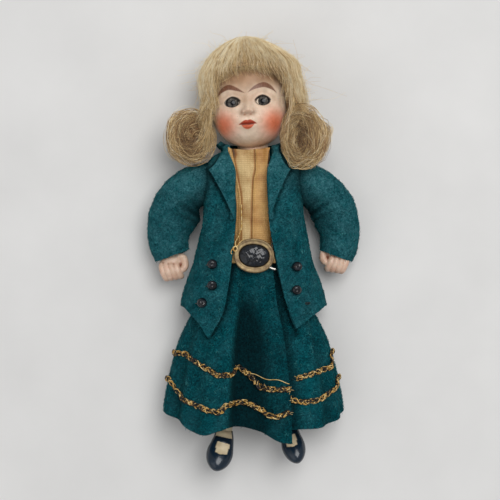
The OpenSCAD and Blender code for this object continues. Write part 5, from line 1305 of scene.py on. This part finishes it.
# Braid: the places are measured on the front, from the loose edge round the back to the lap
braid = dict(r=0.14, twist=0.4, pitch=4.2, strands=12, lift=0.45, step=0.17, fray=8,
             upper=([(9.7, -34.6), (5.8, -34.5), (1.9, -34), (-1.2, -30.9), (-4.3, -28.9), (-5.8, -30.8),
                     (-8.4, -31), (-11.3, -29.5), (-19, -25.6)],
                    [(20.6, -25.4), (20.2, -28.8), (14.9, -30.8), (10.9, -31.8)]),
             lower=([(9.2, -40.3), (5, -41.4), (1.7, -39.8), (-3.2, -37.8), (-6.4, -38.5), (-8.7, -40.3),
                     (-13.3, -39.2), (-18.8, -36.5), (-22, -32.6)],
                    [(22.4, -32), (21.5, -34.4), (18.3, -36.5), (12.3, -38), (9.6, -37.2)]))


def angleOn(x, y, first, last):
    # turn round the skirt at which its face lies over (x, y)
    a = np.linspace(first, last, 600)
    return a[np.argmin(np.abs(onSkirt(y, a)[:, 0] - x))]


for name, node, (frontRun, lapRun), seed in (("upperBraid", "upper_braid", braid["upper"], 71),
                                             ("lowerBraid", "lower_braid", braid["lower"], 72)):
    rng = np.random.default_rng(seed)
    table = ([(angleOn(x, y, 268, skirt["looseEdge"]), y) for x, y in frontRun]
             + [(angleOn(x, y, skirt["lapEdge"], 92), y) for x, y in lapRun])
    table = sorted(table + [(180, frontRun[-1][1] - 2)])
    table = [pair for k, pair in enumerate(table) if k == 0 or pair[0] - table[k - 1][0] > 0.4]
    a = np.linspace(table[0][0], table[-1][0], 2400)
    path = onSkirt(smoothTable(a, table), a, braid["lift"])
    far = np.concatenate([[0], np.cumsum(np.linalg.norm(np.diff(path, axis=0), axis=1))])
    even = np.linspace(0, far[-1], int(far[-1] / braid["step"]))
    path = np.stack([np.interp(even, far, path[:, k]) for k in range(3)], -1)
    way = unit(np.gradient(path, axis=0))
    out = unit(path - np.stack([0.3 * path[:, 0], path[:, 1], np.full(len(path), 8.0)], -1))
    side = unit(np.cross(way, out))
    out = np.cross(side, way)
    lines, thick, tint = [], [], []
    for k in range(braid["strands"]):
        turn = (2 * math.pi * (even / braid["pitch"] * (1 if k % 2 else -1) + k / braid["strands"])
                + 0.9 * np.sin(even / 2.3 + k) + 0.5 * np.sin(even / 0.9 + 2 * k))
        wide = braid["twist"] * (1 + 0.35 * np.sin(even / 1.3 + 1.7 * k))
        lines.append(path + (wide * np.cos(turn))[:, None] * side * 1.35 + (wide * np.sin(turn))[:, None] * out * 0.75
                     + 0.12 * (np.sin(even / 1.9 + seed))[:, None] * side)
        thick.append(braid["r"] * (0.85 + 0.3 * np.sin(even / 0.7 + 3 * k)))
        fleck = np.sin(even / rng.uniform(0.45, 0.75) + 7 * k) + 0.6 * np.sin(even / 0.31 + 3 * k)
        tint.append(mix(0.08, 0.86, softStep((fleck + rng.uniform(-0.1, 0.5)) / 0.4)))
    pieces = [makeStrands(name, lines, thick, tint, cord, 4)]
    # loose ends: short wisps along the cord and a tuft where it was cut
    fray, last = braid["fray"], len(path) - 1
    spot = np.concatenate([rng.integers(4, last - 3, fray * 3), rng.integers(last - 4, last, fray),
                           rng.integers(0, 4, fray)])
    order = np.arange(len(spot))
    ends = np.where(order < 3 * fray, rng.choice([-1, 1], len(spot)), np.where(order < 4 * fray, 1, -1))[:, None]
    aim = unit(ends * way[spot] + 0.9 * rng.normal(size=(len(spot), 3)) * [1, 1, 0.2] + 0.5 * out[spot])
    u = np.linspace(0, 1, 6)[None, :, None]
    wisps = (path[spot][:, None] + u * aim[:, None] * rng.uniform(0.6, 1.5, (len(spot), 1, 1))
             + 0.25 * out[spot][:, None] * np.sin(math.pi * u))
    pieces.append(makeStrands(name + "Wisps", wisps, 0.06, rng.choice([0.9, 0.1], (len(spot), 1)), cord))
    for piece in pieces:
        dress(piece, node=node)
print("braid sewn on")

# Ribbed silk ribbon: corded across, with a dull gold sheen; real ribs are this coarse
ribbon, tree, shader = newMaterial("ribbed silk ribbon", Roughness=0.5,
                                   **{"Sheen Weight": 0.3, "Sheen Tint": toLinear("#ffe6b0")})
waveScale = 2 * math.pi / 20   # one band of the wave texture for each pattern length
tint = addNode(tree, "ShaderNodeAttribute", attribute_name="tint").outputs["Fac"]
place = addNode(tree, "ShaderNodeTexCoord").outputs["Object"]
ribs = addNode(tree, "ShaderNodeTexWave", {"Vector": place, "Scale": perMm(0.5) * waveScale, "Distortion": 2.2,
                                           "Detail": 2, "Detail Scale": 2}, bands_direction="Y")
warp = addNode(tree, "ShaderNodeTexWave", {"Vector": place, "Scale": perMm(0.4) * waveScale, "Distortion": 3,
                                           "Detail": 2}, bands_direction="X")
weave = addNode(tree, "ShaderNodeMath", {0: ribs.outputs["Fac"], 1: warp.outputs["Fac"]}, operation="MULTIPLY")
stain = addNode(tree, "ShaderNodeTexNoise", {"Vector": place, "Scale": perMm(3.5), "Detail": 4})
base = addNode(tree, "ShaderNodeValToRGB", {"Fac": tint},
               stops=[(0, "#5d3b14"), (1, "#d6a04e"), (0.3, "#a8752f"), (0.55, "#dfc48c")])
aged = addNode(tree, "ShaderNodeValToRGB", {"Fac": stain.outputs["Fac"]},
               stops=[(0.3, "#cdb797"), (0.62, "#ffffff")])
lines = addNode(tree, "ShaderNodeValToRGB", {"Fac": weave.outputs["Value"]},
                stops=[(0.0, "#b98c50"), (0.45, "#ffffff")])
old = addNode(tree, "ShaderNodeMix", {"Factor": 1, 6: base.outputs["Color"], 7: aged.outputs["Color"]}, **multiply)
woven = addNode(tree, "ShaderNodeMix", {"Factor": 0.4, 6: old.outputs[2], 7: lines.outputs["Color"]}, **multiply)
tree.links.new(woven.outputs[2], shader.inputs["Base Color"])
raised = addNode(tree, "ShaderNodeBump", {"Height": weave.outputs["Value"], "Strength": 0.55, "Distance": 0.00015})
tree.links.new(raised.outputs["Normal"], shader.inputs["Normal"])

# Blouse front: a ribbon folded in three, its top corners standing up beside the chin
blouse = dict(thick=0.22, rows=96, cols=76, low=2.1, high=28.2, layer=0.34, off=0.75,
              left=[(2.1, -5.6), (10.7, -5.9), (17.8, -5.6), (21.6, -5.6), (23.3, -6.3), (26.2, -7.4), (28.2, -7)],
              right=[(2.1, 4.6), (10.7, 4.5), (17.8, 3.6), (21.6, 3.5), (23.3, 3.6), (26.2, 3.9), (28.2, 4.3)],
              leftFold=[(2.1, -3.6), (14, -3.3), (21.6, -4.5), (24.5, -5), (28.2, -5.8)],
              rightFold=[(2.1, -0.4), (14, -0.2), (19.5, 0), (23.3, 0.6), (28.2, 0.5)])
torso = dict(wide=[(-1, 6.5), (6.72, 7.2), (13.82, 8.2), (19.2, 8.3)],
             deep=[(-1, 4.89), (6.72, 4.99), (13.82, 5.2), (19.2, 4.99)])
v, u = np.meshgrid(np.linspace(0, 1, blouse["rows"]), np.linspace(0, 1, blouse["cols"]), indexing="ij")
y = mix(blouse["low"], blouse["high"], v)
left, right, foldL, foldR = (smoothTable(y, blouse[k]) for k in ("left", "right", "leftFold", "rightFold"))
x = mix(left, right, u)
wide, deep = (smoothTable(np.minimum(y, sh), torso[k]) for k in ("wide", "deep"))
z = body["bodyZ"] + deep * np.clip(1 - (np.abs(x) / wide) ** 2.4, 0.1, 1) ** (1 / 2.4) + blouse["off"]
overLeft, overRight = softStep((foldL - x) / 0.16 + 0.5), softStep((x - foldR) / 0.16 + 0.5)
z = (z + blouse["layer"] * overLeft + blouse["layer"] * overRight
     + 0.25 * overLeft * bump(x - foldL + 0.25, 0.3) + 0.2 * overRight * bump(x - foldR - 0.25, 0.3))
flare = softStep((y - 21.5) / 6)
z = (z + flare * (1.5 * softStep((foldL + 0.4 - x) / 1.2) + softStep((x - 2.2) / 1.6))
     - 0.7 * flare * bump(x + 1.8, 2))
z = z + 0.07 * ripple(np.stack([x, y, 0 * x], -1), 4, 81)
y = y + flare * (0.4 * softStep(foldL - x) + 0.2 * softStep((x - 2) / 1.5) - 0.3 * bump(x + 1.8, 2.4))
# painted shadow on the under layer beside each fold edge, and under the flared top beside the left fold
tint = (0.55 + 0.3 * overRight + 0.22 * overLeft - 0.36 * (1 - overLeft) * bump(x - foldL - 0.1, 0.4)
        - 0.36 * (1 - overRight) * bump(x - foldR + 0.1, 0.36))
tint = tint - 0.4 * flare * (1 - overLeft) * bump(x - foldL - 0.5, 0.8) * softStep((y - 25) / 2)
grid = np.stack([x, y, z], -1)
faces = outward(grid.reshape(-1, 3), gridFaces(*grid.shape[:2]), np.array([0, 14, 0]))
blousePiece = makePiece("ribbonBlouse", grid, faces, ribbon, {"tint": np.clip(tint, 0, 1).ravel()})
skin = blousePiece.modifiers.new("thickness", "SOLIDIFY")
skin.thickness, skin.offset = blouse["thick"] * 0.001, -1
bake(blousePiece)
dress(blousePiece, node="blouse")

# Belt: the same ribbon pulled flat round the waist
belt = dict(half=1.8, off=0.6, thick=0.5, sides=160)
a = np.linspace(0, 360, belt["sides"], endpoint=False)
rings = []
for h, out in ((-1, 0), (-1, 1), (-0.5, 1), (0, 1), (0.5, 1), (1, 1), (1, 0), (0, 0)):
    y = h * belt["half"]
    x, z = skirtRound(min(y, skirt["top"]), a, belt["off"] + belt["thick"] * out)
    rings.append(np.stack([x, np.full(len(a), y), z], -1))
points = np.array(rings).reshape(-1, 3)
beltPiece = makePiece("ribbonBelt", points, hoopFaces(len(rings), belt["sides"]), ribbon,
                      {"tint": 0.5 + 0.1 * ripple(points, 3, 82)})
dress(beltPiece, node="belt")

# Tarnished brass: stamped plate, browned in cloudy patches
brass, tree, shader = newMaterial("tarnished brass", Metallic=0.55)
cloud = cloudTone(tree, shader, 1.3, [(0.3, "#6b5640"), (0.72, "#9c885f"), (0.5, "#857151")], 5)
dull = addNode(tree, "ShaderNodeMapRange", {"Value": cloud, "To Min": 0.62, "To Max": 0.34})
tree.links.new(dull.outputs["Result"], shader.inputs["Roughness"])
worn = addNode(tree, "ShaderNodeBump", {"Height": cloud, "Strength": 0.25, "Distance": 0.0002})
tree.links.new(worn.outputs["Normal"], shader.inputs["Normal"])

# Moulded black glass: glossy, with shallow dimples that catch the window
glass, tree, shader = newMaterial("moulded black glass", Roughness=0.2)
cloud = cloudTone(tree, shader, 0.9, [(0.4, "#06080c"), (0.7, "#161d26")], 2)
dimple = addNode(tree, "ShaderNodeBump", {"Height": cloud, "Strength": 0.1, "Distance": 0.0003})
tree.links.new(dimple.outputs["Normal"], shader.inputs["Normal"])

# Buckle: a flat oval plate with a rolled edge round an oval stone
buckle = dict(x=0.15, y=0.1, halfW=5.2, halfH=4.5, tilt=-4, rimW=1.25, rimH=1.55, rimTall=1.1, z=18.43,
              stoneW=3.95, stoneH=2.95, stoneZ=19.1, pinR=0.34)
tilt = math.radians(buckle["tilt"])
b = fullTurn(120)


def oval(halfW, halfH, z, n=2.15):
    x, y = halfW * signedPower(np.cos(b), 2 / n), halfH * signedPower(np.sin(b), 2 / n)
    return np.stack([buckle["x"] + x * math.cos(tilt) - y * math.sin(tilt),
                     buckle["y"] + x * math.sin(tilt) + y * math.cos(tilt), z + 0 * b], -1)


rim = [(0, 0), (0, 0.55), (0.06, 0.85), (0.18, 1.0), (0.32, 0.92), (0.5, 0.86), (0.7, 0.84), (0.86, 0.9),
       (0.96, 0.8), (1, 0.5), (1, 0)]
rings = [oval(buckle["halfW"] - s * buckle["rimW"], buckle["halfH"] - s * buckle["rimH"],
              buckle["z"] + h * buckle["rimTall"]) for s, h in rim]
rimPiece = makePiece("brassBuckle", np.array(rings), hoopFaces(len(rings), len(b)), brass)
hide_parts("buckle_frame")
# the stone: a short wall, then the dome
dome = np.concatenate([np.linspace(1, 0.82, 5), np.linspace(0.7, 0.06, 16)])
steps = [(s, -0.6) for s in (0.9, 1)] + [(s, math.sqrt(max(0, 1 - s ** 3))) for s in dome]
rings = np.array([oval(buckle["stoneW"] * s, buckle["stoneH"] * s, buckle["stoneZ"] + h) for s, h in steps])
rings[2:, :, 2] += 0.07 * ripple(rings[2:], 1.6, 83)
stone = makePiece("blackStone", *closedLoft(rings), glass)
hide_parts("buckle_stone")

# Pin of the buckle: plated wire, one bright end shows below the rim
wire, tree, shader = newMaterial("drawn iron wire", Metallic=0.9, Roughness=0.32)
cloudTone(tree, shader, 0.6, [(0.35, "#8d877f"), (0.65, "#cfcac2")], 3)
pinPath = throughPoints([(3.6, -2.7, 18.9), (4.6, -3.1, 19), (5.4, -3.4, 18.95), (5.7, -3.2, 18.8)], 12)
pinRadii = buckle["pinR"] * np.array([0.4, 0.9, 1, 1, 1, 1, 1, 1, 1.1, 1.2, 1, 0.4])
pin = makePiece("bucklePin", *tubePart(pinPath, pinRadii, 12), wire)

# Bead buttons: pressed glass rings, each sewn down through its hole
beads = dict(r=1.3, tall=2.1, places=[(-10.7, -2.1), (-10.7, -7.6), (-13.4, -12.1), (11.3, -2.7), (11.2, -8.8)],
             lost=(13.8, -12.3), threadR=0.11)
parts, threads = [], []
for k, (x, y) in enumerate(beads["places"]):
    rng = np.random.default_rng(90 + k)
    polar, b = np.meshgrid(np.linspace(0.04, math.pi - 0.04, 26), fullTurn(40), indexing="ij")
    wide = beads["r"] * np.sin(polar)
    tall = 0.5 * beads["tall"] * np.cos(polar) - np.sign(np.cos(polar)) * 0.3 * bump(wide, 0.28)
    skin = np.stack([wide * np.cos(b), wide * np.sin(b), tall], -1)
    lean = rng.uniform(-0.35, 0.35, 2)
    skin[..., 2] += lean[0] * skin[..., 0] + lean[1] * skin[..., 1]
    centre = np.array([x, y, coatFace(abs(x), y) + 0.5 * beads["tall"] + 0.2])
    parts.append(closedLoft(skin + centre, centre))
    for aside in (-0.25, 0.25):
        threads.append(throughPoints([centre + [aside - 1.5, aside, -1.1], centre + [-0.7, 0.3 * aside, 0.75],
                                      centre + [0, 0, 0.5], centre + [0.1, -0.1, -0.9]], 10))
# two stitches are left where a sixth bead came off
spot = np.array([*beads["lost"], coatFace(*beads["lost"]) + 0.12])
for aside in (-0.25, 0.2):
    threads.append(throughPoints([spot + [-0.8, aside, -0.3], spot + [-0.3, 0.6 * aside, 0.15],
                                  spot + [0.4, aside, 0.12], spot + [0.9, -aside, -0.3]], 10))
beadPiece = makePiece("beadButtons", *joined(parts), glass)
beadThread = makeStrands("beadThread", threads, beads["threadR"], 0.05, cord, 5)
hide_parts("bead_buttons")
for piece, slot in ((rimPiece, "gilt"), (stone, "black_glass"), (pin, "gilt"), (beadPiece, "black_glass"),
                    (beadThread, "braid")):
    dress(piece)

# Loose gilt thread down the blouse, knotted beside the buckle, and one across the skirt front
loose = dict(knot=(-4.75, 1.9, 19.3), radii=(0.14, 0.14, 0.12, 0.12, 0.1), points=60)
knot, n = np.array(loose["knot"]), loose["points"]
turn = np.linspace(0, 6.5 * math.pi, n)
knotLine = knot + np.stack([0.55 * np.cos(turn) * (1 + 0.2 * np.sin(0.31 * turn)), 0.62 * np.sin(turn),
                            0.35 * np.sin(0.45 * turn + 1)], -1)
lead = throughPoints([(-3.2, 13.5, 15.9), (-3.1, 8.2, 16.2), (-4, 5, 17.5), (-4.75, 3.4, 19.1), knotLine[0]], n)
tails = [throughPoints(knot + np.array(steps), n) for steps in
         ([[0.3, 0.4, 0.3], [1, 1.4, 0.2], [1.7, 2.1, -0.3], [2.2, 2.5, -0.9]],
          [[-0.4, 0.2, 0.2], [-0.9, -0.2, 0.1], [-1.1, -1, -0.1], [-0.9, -1.4, -0.2]])]
a = np.linspace(angleOn(-1.2, -30.4, 300, skirt["looseEdge"]), skirt["looseEdge"] - 0.5, n)
y = np.interp(a, a[[0, n // 2, n - 1]], [-30.6, -31.9, -32.9]) + 0.25 * np.sin(np.linspace(0, 11, n))
looseThread = makeStrands("looseThread", [lead, knotLine] + tails + [onSkirt(y, a, braid["lift"])],
                          np.array(loose["radii"])[:, None], 0.9, cord, 6)
dress(looseThread)
print("blouse, belt, buckle and beads done")

# Parts of the body that stay as they come from model.glb.
# Plain bisque: bare fired clay, matt and faintly mottled
plainBisque, tree, shader = newMaterial("plain bisque", **clay)
cloudTone(tree, shader, 1.6, [(0.3, "#e0c4ad"), (0.65, "#ecd6c3")])
# Birch: pale and close, with fine bands along the turned dowel
wood, tree, shader = newMaterial("turned birch dowel", Roughness=0.6)
place = addNode(tree, "ShaderNodeTexCoord").outputs["Object"]
grain = addNode(tree, "ShaderNodeTexWave", {"Vector": place, "Scale": perMm(0.7) * waveScale, "Distortion": 4,
                                            "Detail": 3}, bands_direction="Z")
tone = addNode(tree, "ShaderNodeValToRGB", {"Fac": grain.outputs["Fac"]}, stops=[(0.2, "#a37c4c"), (0.8, "#d6b684")])
tree.links.new(tone.outputs["Color"], shader.inputs["Base Color"])
# Plaster, card and gauze: dry and matt, each with its own coarseness
others = {}
for slot, name, dry, size, dark, light in (("plaster", "cast plaster", 0.9, 1.2, "#d2cabb", "#f1ece2"),
                                           ("card", "grey pate card", 0.85, 0.6, "#8f8574", "#b5aa96"),
                                           ("gauze", "starched gauze", 0.9, 0.45, "#8d7a58", "#c4b48f")):
    others[slot], tree, shader = newMaterial(name, Roughness=dry)
    cloud = cloudTone(tree, shader, size, [(0.35, dark), (0.65, light)])
    coarse = addNode(tree, "ShaderNodeBump", {"Height": cloud, "Strength": 0.4, "Distance": 0.0001})
    tree.links.new(coarse.outputs["Normal"], shader.inputs["Normal"])
for name, material in (("torso", plainBisque), ("shoulder_wire", wire), ("hip_wire", wire), ("neck_hook", wire),
                       ("neck_toggle", wood), ("eye_plaster", others["plaster"]), ("pate", others["card"]),
                       ("wig_cap", others["gauze"])):
    nodes[name].data.materials.clear()
    nodes[name].data.materials.append(material)
print("hidden parts dressed")
